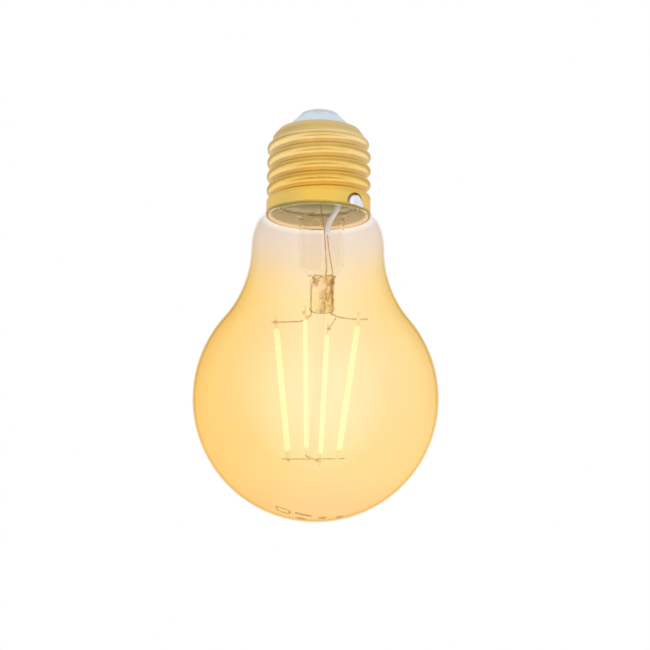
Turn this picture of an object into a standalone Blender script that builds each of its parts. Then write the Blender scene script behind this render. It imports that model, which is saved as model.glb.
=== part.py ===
"""A smart filament light bulb with an E27 screw cap, hanging cap up.

Units are metres and +Z is up. The origin is the centre of the flat top of the
centre contact, and the bulb reaches down from there to the bottom of its globe.
"""

import math

import bmesh
import bpy
from mathutils import Matrix, Vector

# Driving dimensions.
LENGTH = 0.1030
CAP_LENGTH = 0.0270
GLOBE_RADIUS = 0.0301
NECK_RADIUS = 0.0166
GLOBE_TO_NECK_RADIUS = 0.0285
GLASS = 0.0007

# E27 screw thread.
THREAD_PITCH = 0.003629
THREAD_MAJOR = 0.01310
THREAD_DEPTH = 0.00100
THREAD_START = 0.0035
THREAD_FADE_IN = 0.0012
THREAD_END = 0.0212
SHOULDER_DEPTH_LOSS = 0.85
SHOULDER_START = 0.0180
SHOULDER_SLOPE = 0.38
SHOULDER_CURVE = 70.0
FIRST_GROOVE = 0.00559
SHELL_WALL = 0.00035
SHELL_TOP = 0.0221
LIP_RADIUS = 0.0091
ROW_STEP = 0.00060

# Heights of the main levels.
RIM = -CAP_LENGTH
GLOBE = -(LENGTH - GLOBE_RADIUS)

# The joint between the cap and the glass.
RIM_GLASS_RADIUS = 0.0130
RIM_GAP = 0.00015
COLLAR_RADIUS = 0.0117
COLLAR_TOP = RIM + 0.0038
HOLE_ANGLE = math.radians(-45.0)
HOLE_HALF_WIDTH = 0.0028
HOLE_FOOT = 0.0010
HOLE_TOP = 0.0038
HOLE_REACH = (0.0118, 0.0140)
SOLDER_HALF_WIDTH = 0.0025
SOLDER_FOOT = 0.0012
SOLDER_TOP = 0.0034
SOLDER_SIDESTEP = 0.0002
SOLDER_MIDDLE = 0.0020
SOLDER_STEPS = ((1.0, 0.01215), (1.0, 0.01275), (0.85, 0.01305), (0.45, 0.01330))
CEMENT_GAP = 0.0001
CEMENT_BOTTOM = RIM + 0.0007
CEMENT_TOP = RIM + 0.0034
CEMENT_OPENING = math.radians(30.0)

# Insulator and centre contact.
INSULATOR_BOTTOM = RIM + 0.0190
INSULATOR_BORE = 0.0018
INSULATOR_CONE = (
    (0.0095, INSULATOR_BOTTOM),
    (0.0095, RIM + 0.0212),
    (LIP_RADIUS - 0.0003, RIM + 0.0218),
    (LIP_RADIUS - 0.0003, RIM + 0.0223),
    (0.0080, RIM + 0.0232),
    (0.0068, RIM + 0.0246),
    (0.0055, RIM + 0.0258),
)
CONTACT_RADIUS = 0.0050
CONTACT_ROUND = 0.0008
CONTACT_STEM = 0.0016
CONTACT_PLATE = RIM + 0.0259

# Glass stem: it stands a little off the axis of the bulb.
STEM_X = 0.0009
STEM_RADIUS = 0.0057
STEM_WALL = 0.0008
STEM_TOP = RIM + 0.0034
FLARE_START = RIM - 0.0004
FLARE_END = RIM + 0.0028
FLARE_LEVELS = (STEM_TOP, FLARE_END, RIM + 0.0019, RIM + 0.0010, FLARE_START)
FLARE_WIDTH = 0.0049
PINCH_X = 0.0012
PINCH_HALF_WIDTH = 0.0032
PINCH_HALF_DEPTH = 0.0017
PINCH_TOP = GLOBE + 0.0306
PINCH_BOTTOM = GLOBE + 0.0211
PINCH_FLAT = PINCH_TOP - 0.0006
PINCH_SHOULDER = PINCH_TOP + 0.0032
STEM_BORE_END = PINCH_TOP + 0.0012
STEM_BORE_SQUASH = 0.75
PINCH_TIP = 0.0009
EXHAUST_RADIUS = 0.0013
EXHAUST_BORE = 0.0008
EXHAUST_X = -0.0006
EXHAUST_LEVELS = (PINCH_TOP + 0.0020, RIM - 0.0006)
ROD_RADIUS = 0.0010
ROD_TOP = Vector((PINCH_X - 0.0002, 0.0, PINCH_BOTTOM - 0.0003))
HUB = Vector((-0.0004, 0.0, GLOBE - 0.0149))
HUB_RADIUS = 0.00145
HUB_GAP = 0.0002

# Filaments: a ring of four that leans in towards the bottom.
FILAMENT_TURN = math.radians(-15.0)
FILAMENT_NAMES = ("right", "far", "left", "near")
TOP_RADIUS = 0.0104
BOTTOM_RADIUS = 0.0065
LIT_TOP = GLOBE + 0.01765
LIT_BOTTOM = GLOBE - 0.0129
TOP_WELD = GLOBE + 0.0194
BOTTOM_WELD = HUB.z
TAB_REACH = 0.0034
TAB_GAP = 0.0001
FILAMENT_WIDTH = 0.0014
FILAMENT_DEPTH = 0.0010
FILAMENT_BEVEL = 0.0003
TAB_WIDTH = 0.0010
TAB_THICKNESS = 0.0002
LEAD_RADIUS = 0.00022
SUPPORT_RADIUS = 0.00017
SUPPORT_TIP = 0.0015
WELD_GAP = 0.00004

# Lead wires: inside the pinch, below it to the welds, and above it to the driver.
LEFT_SPLICE = Vector((0.0020, 0.0, GLOBE + 0.0369))
LEFT_IN_PINCH = (
    (0.0022, 0.0, PINCH_TOP + 0.0014),
    (0.0012, 0.0, PINCH_TOP + 0.0001),
    (-0.0004, 0.0, PINCH_TOP - 0.0008),
    (-0.0013, 0.0, PINCH_TOP - 0.0023),
    (-0.0014, 0.0, PINCH_TOP - 0.0055),
    (-0.0014, 0.0, PINCH_BOTTOM + 0.0002),
)
RIGHT_IN_PINCH = ((0.0037, 0.0, PINCH_TOP + 0.0016), (0.0036, 0.0, PINCH_BOTTOM + 0.0004))
BORE_RADIUS = LEAD_RADIUS + 0.00020
BORE_OVERRUN = 0.0010
LEFT_BEND = (
    (-0.0017, 0.0, GLOBE + 0.0206),
    (-0.0029, 0.0005, GLOBE + 0.0198),
    (-0.0045, 0.0012, GLOBE + 0.0194),
)
RIGHT_BEND = (
    (0.0038, 0.0, GLOBE + 0.0212),
    (0.0050, -0.0006, GLOBE + 0.0204),
    (0.0070, -0.0016, GLOBE + 0.0198),
)
NEAR_BEND = ((-0.0019, -0.0004, GLOBE + 0.0204), (-0.0024, -0.0030, GLOBE + 0.0199))
FAR_BEND = ((0.0046, 0.0002, GLOBE + 0.0200), (0.0041, 0.0035, GLOBE + 0.0197))
WIRE_ENDS = {"left": 0.0009, "right": 0.0021, "near": 0.0012, "far": 0.0010}
OUTPUT_RADIUS = 0.00016
OUTPUT_GAP = Vector((0.0, 0.0, 0.0001))
PLAIN_OUTPUT = (
    (0.0015, 0.0, GLOBE + 0.0430),
    (0.0006, -0.0005, GLOBE + 0.0484),
    (0.0003, -0.0010, RIM + 0.0070),
)
SLEEVED_OUTPUT = (
    (0.0028, 0.0, GLOBE + 0.0374),
    (0.0024, 0.0, GLOBE + 0.0420),
    (0.0030, -0.0003, GLOBE + 0.0450),
    (0.0048, -0.0010, GLOBE + 0.0482),
    (0.0054, -0.0012, RIM + 0.0070),
)
SLEEVE_BORE = OUTPUT_RADIUS + 0.00012
SLEEVE_RADIUS = 0.0007
INPUT_RADIUS = 0.00018
LIVE_INPUT = (
    (0.0, 0.0, INSULATOR_BOTTOM),
    (-0.0002, -0.0008, RIM + 0.0186),
    (-0.0004, -0.0011, RIM + 0.0172),
    (-0.0004, -0.0009, RIM + 0.0158),
)
NEUTRAL_BEHIND_SOLDER = ((0.01195, RIM + 0.0015), (0.01195, RIM + 0.0036), (0.0108, RIM + 0.0052))
NEUTRAL_TO_BOARD = ((0.0082, -0.0044, RIM + 0.0065), (0.0084, -0.0008, RIM + 0.0060))

# Driver inside the cap. Each part has its size, its X, its height above the rim,
# its gap to the board, its material and the bevel of its edges.
BOARD = (0.0196, 0.0010, 0.0125)
BOARD_Z = RIM + 0.01165
PART_GAP = 0.0001
MODULE_GAP = 0.0020
MODULE = (0.0094, 0.0008, 0.0110)
CAN_GAP = MODULE_GAP + MODULE[1] + PART_GAP
FRONT_PARTS = {
    "bridge_rectifier": ((0.0047, 0.0015, 0.0040), 0.0036, 0.0155, 0.0, "black_epoxy", 0.0002),
    "led_driver_chip": ((0.0049, 0.0015, 0.0039), 0.0030, 0.0095, 0.0, "black_epoxy", 0.0002),
    "chip_capacitor_1": ((0.0020, 0.0012, 0.0012), 0.0, 0.0130, 0.0, "ceramic_tan", 0.0),
    "chip_resistor_1": ((0.0020, 0.0006, 0.0012), 0.0040, 0.0126, 0.0, "black_epoxy", 0.0),
}
BACK_PARTS = {
    "voltage_regulator": ((0.0029, 0.0011, 0.0016), -0.0020, 0.0160, 0.0, "black_epoxy", 0.0002),
    "chip_capacitor_2": ((0.0020, 0.0012, 0.0012), -0.0010, 0.0075, 0.0, "ceramic_tan", 0.0),
    "chip_resistor_2": ((0.0020, 0.0006, 0.0012), -0.0076, 0.0165, 0.0, "black_epoxy", 0.0),
    "wireless_board": (MODULE, 0.0042, 0.0120, MODULE_GAP, "board", 0.0),
    "pin_header": ((0.0070, 0.0016, 0.0016), 0.0042, 0.0160, PART_GAP, "black_epoxy", 0.0),
    "shield_can": ((0.0066, 0.0016, 0.0060), 0.0035, 0.0138, CAN_GAP, "tinned_steel", 0.0002),
    "crystal": ((0.0025, 0.0007, 0.0020), 0.0028, 0.0093, CAN_GAP, "tinned_steel", 0.0),
    "antenna": ((0.0045, 0.0010, 0.0012), 0.0050, 0.0074, CAN_GAP, "ceramic_tan", 0.0),
}

# Turned driver parts: an outline of (radius, height above the rim), a place and a material.
TURNED_PARTS = {
    "bulk_capacitor": (
        ((0.0, 0.0066), (0.0028, 0.0066), (0.00315, 0.0069))
        + ((0.00315, 0.0162), (0.0029, 0.0165), (0.0, 0.0165)),
        (-0.0050, -0.0042),
        "capacitor",
    ),
    "fusible_resistor": (
        ((0.0, 0.0068), (0.0009, 0.0068), (0.0012, 0.0074))
        + ((0.0012, 0.0126), (0.0009, 0.0132), (0.0, 0.0132)),
        (0.0078, -0.0028),
        "resistor",
    ),
    "choke_core": (
        ((0.0, 0.0095), (0.0030, 0.0095), (0.0030, 0.0105), (0.0016, 0.0105))
        + ((0.0016, 0.0142), (0.0030, 0.0142), (0.0030, 0.0152), (0.0, 0.0152)),
        (-0.0052, 0.0041),
        "ferrite",
    ),
    "choke_winding": (
        ((0.0018, 0.0107), (0.0027, 0.0107), (0.0027, 0.0140), (0.0018, 0.0140)),
        (-0.0052, 0.0041),
        "copper",
    ),
}

# Facets.
ROUND = 36
SMALL_ROUND = 20
MERGE = 1e-7


def material(name, colour, roughness, metallic=0.0, transmission=0.0, glow=0.0):
    """A Principled material; glow is the strength of its own light."""
    made = bpy.data.materials.new(name)
    made.use_nodes = True
    shader = made.node_tree.nodes["Principled BSDF"]
    shader.inputs["Base Color"].default_value = (*colour, 1.0)
    shader.inputs["Roughness"].default_value = roughness
    shader.inputs["Metallic"].default_value = metallic
    shader.inputs["Transmission Weight"].default_value = transmission
    shader.inputs["Emission Color"].default_value = (*colour, 1.0)
    shader.inputs["Emission Strength"].default_value = glow
    made.diffuse_color = (*colour, 1.0)
    return made


def add(name, bm, finish, sharp_degrees=35.0):
    """Closes off a mesh, faces out, and puts it in the scene under one name."""
    bmesh.ops.remove_doubles(bm, verts=bm.verts, dist=MERGE)
    bmesh.ops.recalc_face_normals(bm, faces=bm.faces)
    mesh = bpy.data.meshes.new(name)
    bm.to_mesh(mesh)
    bm.free()
    mesh.shade_smooth()
    mesh.set_sharp_from_angle(angle=math.radians(sharp_degrees))
    made = bpy.data.objects.new(name, mesh)
    bpy.context.scene.collection.objects.link(made)
    if finish is not None:
        mesh.materials.append(finish)
    made.parent = assembly
    return made


def swept(name, points_at, finish, segments=ROUND, ring=True):
    """A skin round the vertical axis, through the points that points_at(angle) lists.

    ring closes each list on itself; otherwise its two ends lie on one point each.
    """
    bm = bmesh.new()
    columns = []
    for index in range(segments):
        points = points_at(2.0 * math.pi * index / segments)
        columns.append([bm.verts.new(point) for point in points])
    for left, right in zip(columns, columns[1:] + columns[:1]):
        for low in range(len(left) if ring else len(left) - 1):
            high = (low + 1) % len(left)
            bm.faces.new((left[low], right[low], right[high], left[high]))
    return add(name, bm, finish)


def turned(name, outline, finish, segments=ROUND, centre=(0.0, 0.0)):
    """A solid of revolution from (radius, height) points; it may start and end on the axis."""

    def points_at(angle):
        across = math.cos(angle)
        along = math.sin(angle)
        return [(centre[0] + r * across, centre[1] + r * along, z) for r, z in outline]

    return swept(name, points_at, finish, segments, ring=outline[0][0] > 0.0)


def arc(centre_r, centre_z, radius_r, radius_z, start, end, steps):
    """Points on an elliptical arc from start to end, in degrees."""
    points = []
    for step in range(steps + 1):
        angle = math.radians(start + (end - start) * step / steps)
        points.append((centre_r + radius_r * math.cos(angle), centre_z + radius_z * math.sin(angle)))
    return points


def smooth_route(knots, per_span=4):
    """A Catmull-Rom curve through the knots."""
    knots = [Vector(knot) for knot in knots]
    padded = [2 * knots[0] - knots[1]] + knots + [2 * knots[-1] - knots[-2]]
    route = []
    for before, start, end, after in zip(padded, padded[1:], padded[2:], padded[3:]):
        for step in range(per_span):
            t = step / per_span
            route.append(
                0.5
                * (
                    2 * start
                    + (end - before) * t
                    + (2 * before - 5 * start + 4 * end - after) * t**2
                    + (3 * start - before - 3 * end + after) * t**3
                )
            )
    return route + [knots[-1]]


def wire(name, route, radius, finish, resolution=1):
    """A round wire along a list of points, with flat ends."""
    curve = bpy.data.curves.new(name, "CURVE")
    curve.dimensions = "3D"
    curve.bevel_depth = radius
    curve.bevel_resolution = resolution
    curve.use_fill_caps = True
    spline = curve.splines.new("POLY")
    spline.points.add(len(route) - 1)
    for point, place in zip(spline.points, route):
        point.co = (*place, 1.0)
    made = bpy.data.objects.new(name, curve)
    bpy.context.scene.collection.objects.link(made)
    curve.materials.append(finish)
    made.parent = assembly
    return made


def block(name, size, centre, finish, bevel=0.0):
    """A box with its edges bevelled, centred on a point."""
    bm = bmesh.new()
    bmesh.ops.create_cube(bm, size=1.0)
    bmesh.ops.scale(bm, vec=size, verts=bm.verts)
    if bevel:
        bmesh.ops.bevel(bm, geom=bm.edges[:], offset=bevel, segments=1, affect="EDGES")
    made = add(name, bm, finish)
    made.location = centre
    return made


def ring_loops(bm, route, radius, sides):
    """Rings of points round a route that stays close to the XZ plane."""
    rings = []
    for index, place in enumerate(route):
        ahead = route[min(index + 1, len(route) - 1)] - route[max(index - 1, 0)]
        out = ahead.normalized().cross(Vector((0.0, 1.0, 0.0))).normalized()
        other = ahead.normalized().cross(out)
        ring = []
        for side in range(sides):
            angle = 2.0 * math.pi * side / sides
            spot = place + (out * math.cos(angle) + other * math.sin(angle)) * radius
            ring.append(bm.verts.new(spot))
        rings.append(ring)
    return rings


def bridge(bm, first, second):
    """Faces between two rings of as many points."""
    for index in range(len(first)):
        other = (index + 1) % len(first)
        bm.faces.new((first[index], first[other], second[other], second[index]))


def bore_cutter(name, route, radius):
    """A hidden rod that bores a hole along a route, a little past both of its ends."""
    start = route[0] + (route[0] - route[1]).normalized() * BORE_OVERRUN
    end = route[-1] + (route[-1] - route[-2]).normalized() * BORE_OVERRUN
    bm = bmesh.new()
    rings = ring_loops(bm, [start, *route, end], radius, 8)
    for low, high in zip(rings, rings[1:]):
        bridge(bm, low, high)
    bm.faces.new(rings[0])
    bm.faces.new(rings[-1])
    made = add(name, bm, None)
    hide(made)
    return made


def hide(cutter):
    cutter.hide_render = True
    cutter.display_type = "WIRE"


def cut(target, cutter):
    """Takes a hidden cutter's shape out of a piece."""
    boolean = target.modifiers.new(cutter.name, "BOOLEAN")
    boolean.operation = "DIFFERENCE"
    boolean.solver = "EXACT"
    boolean.object = cutter


def fade(value, low, high):
    """0 below low, 1 above high, and a smooth step between."""
    t = min(max((value - low) / (high - low), 0.0), 1.0)
    return t * t * (3.0 - 2.0 * t)


# Cap ------------------------------------------------------------------------


def thread_drop(height, angle):
    """How far the round E27 thread lies below its crest at this height and angle.

    The crest and the root are arcs of one radius that meet halfway down.
    """
    quarter = THREAD_PITCH / 4.0
    half_depth = THREAD_DEPTH / 2.0
    arc_radius = (quarter**2 + half_depth**2) / (2.0 * half_depth)
    turn = (angle + math.pi / 2.0) / (2.0 * math.pi)
    place = (height - FIRST_GROOVE) / THREAD_PITCH - turn
    from_root = abs(place - round(place)) * THREAD_PITCH
    if from_root < quarter:
        return THREAD_DEPTH - (arc_radius - math.sqrt(arc_radius**2 - from_root**2))
    from_crest = 2.0 * quarter - from_root
    return arc_radius - math.sqrt(arc_radius**2 - from_crest**2)


def shell_radius(height, angle):
    """Outer radius of the screw shell, height above its rim."""
    up = max(height - SHOULDER_START, 0.0)
    body = THREAD_MAJOR - SHOULDER_SLOPE * up - SHOULDER_CURVE * up**2
    depth = fade(height, THREAD_START, THREAD_START + THREAD_FADE_IN)
    depth *= 1.0 - SHOULDER_DEPTH_LOSS * fade(height, SHOULDER_START, THREAD_END)
    return body - depth * thread_drop(height, angle)


def shell_points(angle):
    """One cut through the shell wall: up the outside, round the lip, down the inside."""
    rows = round(SHELL_TOP / ROW_STEP)
    heights = [SHELL_TOP * row / rows for row in range(rows + 1)]
    outer = [(shell_radius(height, angle), RIM + height) for height in heights]
    lip_top = RIM + SHELL_TOP
    lip = [(LIP_RADIUS, lip_top), (LIP_RADIUS, lip_top - SHELL_WALL)]
    inner = []
    for height in reversed(heights):
        level = min(height, SHELL_TOP - SHELL_WALL)
        inner.append((shell_radius(height, angle) - SHELL_WALL, RIM + level))
    across = math.cos(angle)
    along = math.sin(angle)
    return [(r * across, r * along, z) for r, z in outer + lip + inner]


def arch(half_width, foot, top, sidestep=0.0, steps=8):
    """An arch with a flat foot and a round top, as (across, height) points."""
    points = [(sidestep + half_width, foot)]
    rise = min(half_width, top - foot)
    for step in range(steps + 1):
        angle = math.pi * step / steps
        across = sidestep + half_width * math.cos(angle)
        points.append((across, top - rise * (1.0 - math.sin(angle))))
    return points + [(sidestep - half_width, foot)]


def hole_cutter():
    """A hidden arch that opens the soldering hole in the shell."""
    near, far = HOLE_REACH
    bm = bmesh.new()
    outline = arch(HOLE_HALF_WIDTH, HOLE_FOOT, HOLE_TOP)
    face = bm.faces.new([bm.verts.new((near, y, RIM + z)) for y, z in outline])
    pushed = bmesh.ops.extrude_face_region(bm, geom=[face])
    moved = [item for item in pushed["geom"] if isinstance(item, bmesh.types.BMVert)]
    bmesh.ops.translate(bm, vec=(far - near, 0.0, 0.0), verts=moved)
    made = add("hole_cutter", bm, None)
    made.rotation_euler = (0.0, 0.0, HOLE_ANGLE)
    hide(made)
    return made


def side_solder(finish):
    """A drop of solder that bulges out of the hole and leaves it open to one side."""
    outline = arch(SOLDER_HALF_WIDTH, SOLDER_FOOT, SOLDER_TOP, SOLDER_SIDESTEP)
    bm = bmesh.new()
    rings = []
    for scale, depth in SOLDER_STEPS:
        ring = []
        for y, z in outline:
            across = SOLDER_SIDESTEP + (y - SOLDER_SIDESTEP) * scale
            level = SOLDER_MIDDLE + (z - SOLDER_MIDDLE) * scale
            ring.append(bm.verts.new((depth, across, RIM + level)))
        rings.append(ring)
    bm.faces.new(rings[0])
    bm.faces.new(rings[-1])
    for low, high in zip(rings, rings[1:]):
        bridge(bm, low, high)
    made = add("side_solder", bm, finish)
    made.rotation_euler = (0.0, 0.0, HOLE_ANGLE)


def capping_cement(finish):
    """The ring of cement between shell and glass, open where the side lead passes."""
    inner = COLLAR_RADIUS + CEMENT_GAP
    outer = THREAD_MAJOR - SHELL_WALL - CEMENT_GAP
    section = [(inner, CEMENT_BOTTOM), (outer, CEMENT_BOTTOM), (outer, CEMENT_TOP)]
    section += [(inner, CEMENT_TOP)]
    bm = bmesh.new()
    verts = [bm.verts.new((r, 0.0, z)) for r, z in section]
    face = bm.faces.new(verts)
    start = HOLE_ANGLE + CEMENT_OPENING / 2.0
    bmesh.ops.rotate(bm, verts=verts, cent=(0, 0, 0), matrix=Matrix.Rotation(start, 3, "Z"))
    bmesh.ops.spin(
        bm,
        geom=[face],
        cent=(0.0, 0.0, 0.0),
        axis=(0.0, 0.0, 1.0),
        angle=2.0 * math.pi - CEMENT_OPENING,
        steps=ROUND,
    )
    add("capping_cement", bm, finish)


def cap(mats):
    shell = swept("screw_shell", shell_points, mats["brass"])
    cut(shell, hole_cutter())
    cone = [(INSULATOR_BORE, INSULATOR_BOTTOM), *INSULATOR_CONE]
    cone += [(INSULATOR_BORE, INSULATOR_CONE[-1][1])]
    turned("insulator", cone, mats["insulator"])
    flat = CONTACT_RADIUS - CONTACT_ROUND
    stem_end = INSULATOR_BOTTOM + PART_GAP * 2.0
    stem = [(0.0, stem_end), (CONTACT_STEM, stem_end), (CONTACT_STEM, CONTACT_PLATE)]
    plate = [(CONTACT_RADIUS, CONTACT_PLATE)]
    plate += arc(flat, -CONTACT_ROUND, CONTACT_ROUND, CONTACT_ROUND, 0.0, 90.0, 3)
    turned("centre_contact", stem + plate + [(0.0, 0.0)], mats["contact"])
    side_solder(mats["solder"])
    capping_cement(mats["cement"])


# Glass ----------------------------------------------------------------------


def envelope_outline(inset, steps):
    """Half the glass outline from the bottom up, inset by a wall thickness.

    A globe runs into a hollow arc, then a neck and a rounded shoulder under the cap.
    """
    arc_r = NECK_RADIUS + GLOBE_TO_NECK_RADIUS
    arc_up = math.sqrt((GLOBE_RADIUS + GLOBE_TO_NECK_RADIUS) ** 2 - arc_r**2)
    meet = math.degrees(math.atan2(arc_up, arc_r))
    globe = arc(0.0, GLOBE, GLOBE_RADIUS - inset, GLOBE_RADIUS - inset, -90.0, meet, 2 * steps)
    hollow = GLOBE_TO_NECK_RADIUS + inset
    bend = arc(arc_r, GLOBE + arc_up, hollow, hollow, 180.0 + meet, 180.0, steps)
    shoulder_top = RIM - RIM_GAP - inset
    shoulder = arc(
        RIM_GLASS_RADIUS - inset,
        GLOBE + arc_up,
        NECK_RADIUS - RIM_GLASS_RADIUS,
        shoulder_top - GLOBE - arc_up,
        0.0,
        90.0,
        steps,
    )
    globe[0] = (0.0, globe[0][1])
    return globe + bend[1:] + shoulder[1:]


def envelope(glass):
    """The blown glass, open at the top of its collar inside the cap."""
    outer = envelope_outline(0.0, 6)
    inner = envelope_outline(GLASS, 5)
    collar = [(COLLAR_RADIUS, RIM + RIM_GAP), (COLLAR_RADIUS, COLLAR_TOP)]
    bore = COLLAR_RADIUS - GLASS
    mouth = [(bore, COLLAR_TOP), (bore, RIM - GLASS)]
    turned("glass_envelope", outer + collar + mouth + inner[::-1], glass)


def stem_ring(z):
    """Centre, half width and half depth of the stem at a level, down to the pinch."""
    flare = fade(z, FLARE_START, FLARE_END)
    pinch = 1.0 - fade(z, PINCH_FLAT, PINCH_SHOULDER)
    centre = STEM_X * (1.0 - flare) + (PINCH_X - STEM_X) * pinch
    round_radius = STEM_RADIUS + flare * FLARE_WIDTH
    width = round_radius + (PINCH_HALF_WIDTH - round_radius) * pinch
    depth = round_radius + (PINCH_HALF_DEPTH - round_radius) * pinch
    return centre, width, depth


def stem_points(angle):
    """One cut through the stem: up its bore from a round end, then down its outside."""
    across = math.cos(angle)
    along = math.sin(angle)
    bore = STEM_RADIUS - STEM_WALL
    inside = [(STEM_X, 0.0, STEM_BORE_END)]
    for share in (0.45, 0.8):
        radius = bore * math.sqrt(1.0 - (1.0 - share) ** 2)
        level = STEM_BORE_END + (PINCH_SHOULDER - STEM_BORE_END) * share**2
        inside.append((STEM_X + radius * across, radius * along * STEM_BORE_SQUASH, level))
    for z in [PINCH_SHOULDER, *FLARE_LEVELS[::-1]]:
        centre, width, depth = stem_ring(z)
        inside.append((centre + (width - STEM_WALL) * across, (depth - STEM_WALL) * along, z))
    outside = []
    levels = [*FLARE_LEVELS, PINCH_SHOULDER]
    levels += [PINCH_TOP + (PINCH_SHOULDER - PINCH_TOP) * step / 4.0 for step in (3, 2, 1, 0)]
    levels += [PINCH_FLAT, PINCH_BOTTOM + PINCH_TIP]
    for z in levels:
        centre, width, depth = stem_ring(z)
        outside.append((centre + width * across, depth * along, z))
    for share in (0.9, 0.6):
        level = PINCH_BOTTOM + PINCH_TIP * (1.0 - math.sqrt(1.0 - share**2))
        width = PINCH_HALF_WIDTH * share
        outside.append((PINCH_X + width * across, PINCH_HALF_DEPTH * share * along, level))
    return inside + outside + [(PINCH_X, 0.0, PINCH_BOTTOM)]


def route_in_pinch(knots):
    """The way of a lead wire through the pinch: straight, or a curve through its knots."""
    if len(knots) == 2:
        return [Vector(knot) for knot in knots]
    return smooth_route(knots, 3)


def stem(glass):
    """The flared stem that closes the bulb, with its pinch bored for the lead wires."""
    made = swept("stem_glass", stem_points, glass, ring=False)
    for name, knots in (("left_bore", LEFT_IN_PINCH), ("right_bore", RIGHT_IN_PINCH)):
        cut(made, bore_cutter(name, route_in_pinch(knots), BORE_RADIUS))
    low, high = EXHAUST_LEVELS
    outline = [(EXHAUST_BORE, low), (EXHAUST_RADIUS, low), (EXHAUST_RADIUS, high)]
    outline += [(EXHAUST_BORE, high)]
    turned("exhaust_tube", outline, glass, SMALL_ROUND, (EXHAUST_X, 0.0))
    rod_bottom = HUB + (ROD_TOP - HUB).normalized() * (HUB_RADIUS + HUB_GAP)
    wire("support_rod", [ROD_TOP, rod_bottom], ROD_RADIUS, glass, 4)
    bead = arc(0.0, 0.0, HUB_RADIUS, HUB_RADIUS, -90.0, 90.0, 8)
    bead[0] = (0.0, -HUB_RADIUS)
    bead[-1] = (0.0, HUB_RADIUS)
    turned("rod_bead", bead, glass, SMALL_ROUND).location = HUB


# Filaments ------------------------------------------------------------------


def filament_frame(index):
    """Outward and sideways directions of one filament."""
    angle = FILAMENT_TURN + index * math.pi / 2.0
    outward = Vector((math.cos(angle), math.sin(angle), 0.0))
    return outward, Vector((-outward.y, outward.x, 0.0))


def filament_point(index, z):
    """The centre line of one filament, or of its tabs, at a level."""
    share = (z - LIT_BOTTOM) / (LIT_TOP - LIT_BOTTOM)
    outward, _ = filament_frame(index)
    radius = BOTTOM_RADIUS + (TOP_RADIUS - BOTTOM_RADIUS) * share
    shift = HUB.x * (1.0 - share)
    return Vector((shift, 0.0, z)) + outward * radius


def strip(name, start, end, sideways, size, finish):
    """A strip from start to end; size is its width outward, its thickness and its bevel."""
    width, depth, bevel = size
    bm = bmesh.new()
    bmesh.ops.create_cube(bm, size=1.0)
    span = end - start
    bmesh.ops.scale(bm, vec=(width, depth, span.length), verts=bm.verts)
    if bevel:
        along = [edge for edge in bm.edges if abs(edge.verts[0].co.z - edge.verts[1].co.z) > MERGE]
        bmesh.ops.bevel(bm, geom=along, offset=bevel, segments=2, affect="EDGES")
    up = span.normalized()
    out = sideways.cross(up)
    turn = Matrix((out, sideways, up)).transposed().to_4x4()
    made = add(name, bm, finish)
    made.matrix_world = Matrix.Translation((start + end) / 2.0) @ turn
    return made


def filaments(phosphor, nickel, molybdenum):
    """Four lit strips, each with a tab at either end and a support wire out of the bead."""
    for index, name in enumerate(FILAMENT_NAMES):
        outward, sideways = filament_frame(index)
        top = filament_point(index, LIT_TOP)
        bottom = filament_point(index, LIT_BOTTOM)
        along = (top - bottom).normalized()
        lit = f"filament_{name}"
        size = (FILAMENT_WIDTH, FILAMENT_DEPTH, FILAMENT_BEVEL)
        strip(lit, bottom, top, sideways, size, phosphor)
        ends = (("upper", top, along), ("lower", bottom, -along))
        for end_name, root, direction in ends:
            start = root + direction * TAB_GAP
            tip = root + direction * TAB_REACH
            low, high = sorted((start, tip), key=lambda place: place.z)
            tab = f"{end_name}_tab_{name}"
            strip(tab, low, high, sideways, (TAB_WIDTH, TAB_THICKNESS, 0.0), nickel)
        offset = sideways * (TAB_THICKNESS / 2.0 + SUPPORT_RADIUS + WELD_GAP)
        weld = filament_point(index, BOTTOM_WELD) + offset
        tip = weld + outward * SUPPORT_TIP
        root = HUB + (weld - HUB).normalized() * (HUB_RADIUS + PART_GAP)
        wire(f"support_wire_{name}", [root, weld, tip], SUPPORT_RADIUS, molybdenum)


def to_weld(index, side):
    """The last two knots of a lead wire: by the upper tab, on its side 1 or -1, and beyond."""
    outward, sideways = filament_frame(index)
    offset = TAB_THICKNESS / 2.0 + LEAD_RADIUS + WELD_GAP
    weld = filament_point(index, TOP_WELD) + sideways * offset * side
    return [weld, weld + outward * WIRE_ENDS[FILAMENT_NAMES[index]]]


def lead_wires(mats):
    """Lead wires from the filaments through the pinch, and copper leads up to the driver."""
    right, far, left, near = range(4)
    in_left = route_in_pinch(LEFT_IN_PINCH)
    in_right = route_in_pinch(RIGHT_IN_PINCH)
    below_left = smooth_route([*LEFT_BEND, *to_weld(left, 1)], 2)
    below_right = smooth_route([*RIGHT_BEND, *to_weld(right, 1)], 2)
    near_route = smooth_route([*NEAR_BEND, *to_weld(near, -1)], 2)
    far_route = smooth_route([*FAR_BEND, *to_weld(far, -1)], 2)
    wire("left_lead_wire", [LEFT_SPLICE, *in_left, *below_left], LEAD_RADIUS, mats["dumet"])
    wire("right_lead_wire", [*in_right, *below_right], LEAD_RADIUS, mats["dumet"])
    wire("near_branch_wire", near_route, LEAD_RADIUS, mats["nickel"])
    wire("far_branch_wire", far_route, LEAD_RADIUS, mats["nickel"])
    plain = smooth_route([LEFT_SPLICE + OUTPUT_GAP, *PLAIN_OUTPUT], 3)
    wire("negative_output_lead", plain, OUTPUT_RADIUS, mats["copper"])
    sleeved = smooth_route([in_right[0] + OUTPUT_GAP, *SLEEVED_OUTPUT], 3)
    wire("positive_output_lead", sleeved, OUTPUT_RADIUS, mats["copper"])
    sleeve("insulating_sleeve", sleeved[6:-2], mats["sleeve"])


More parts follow.
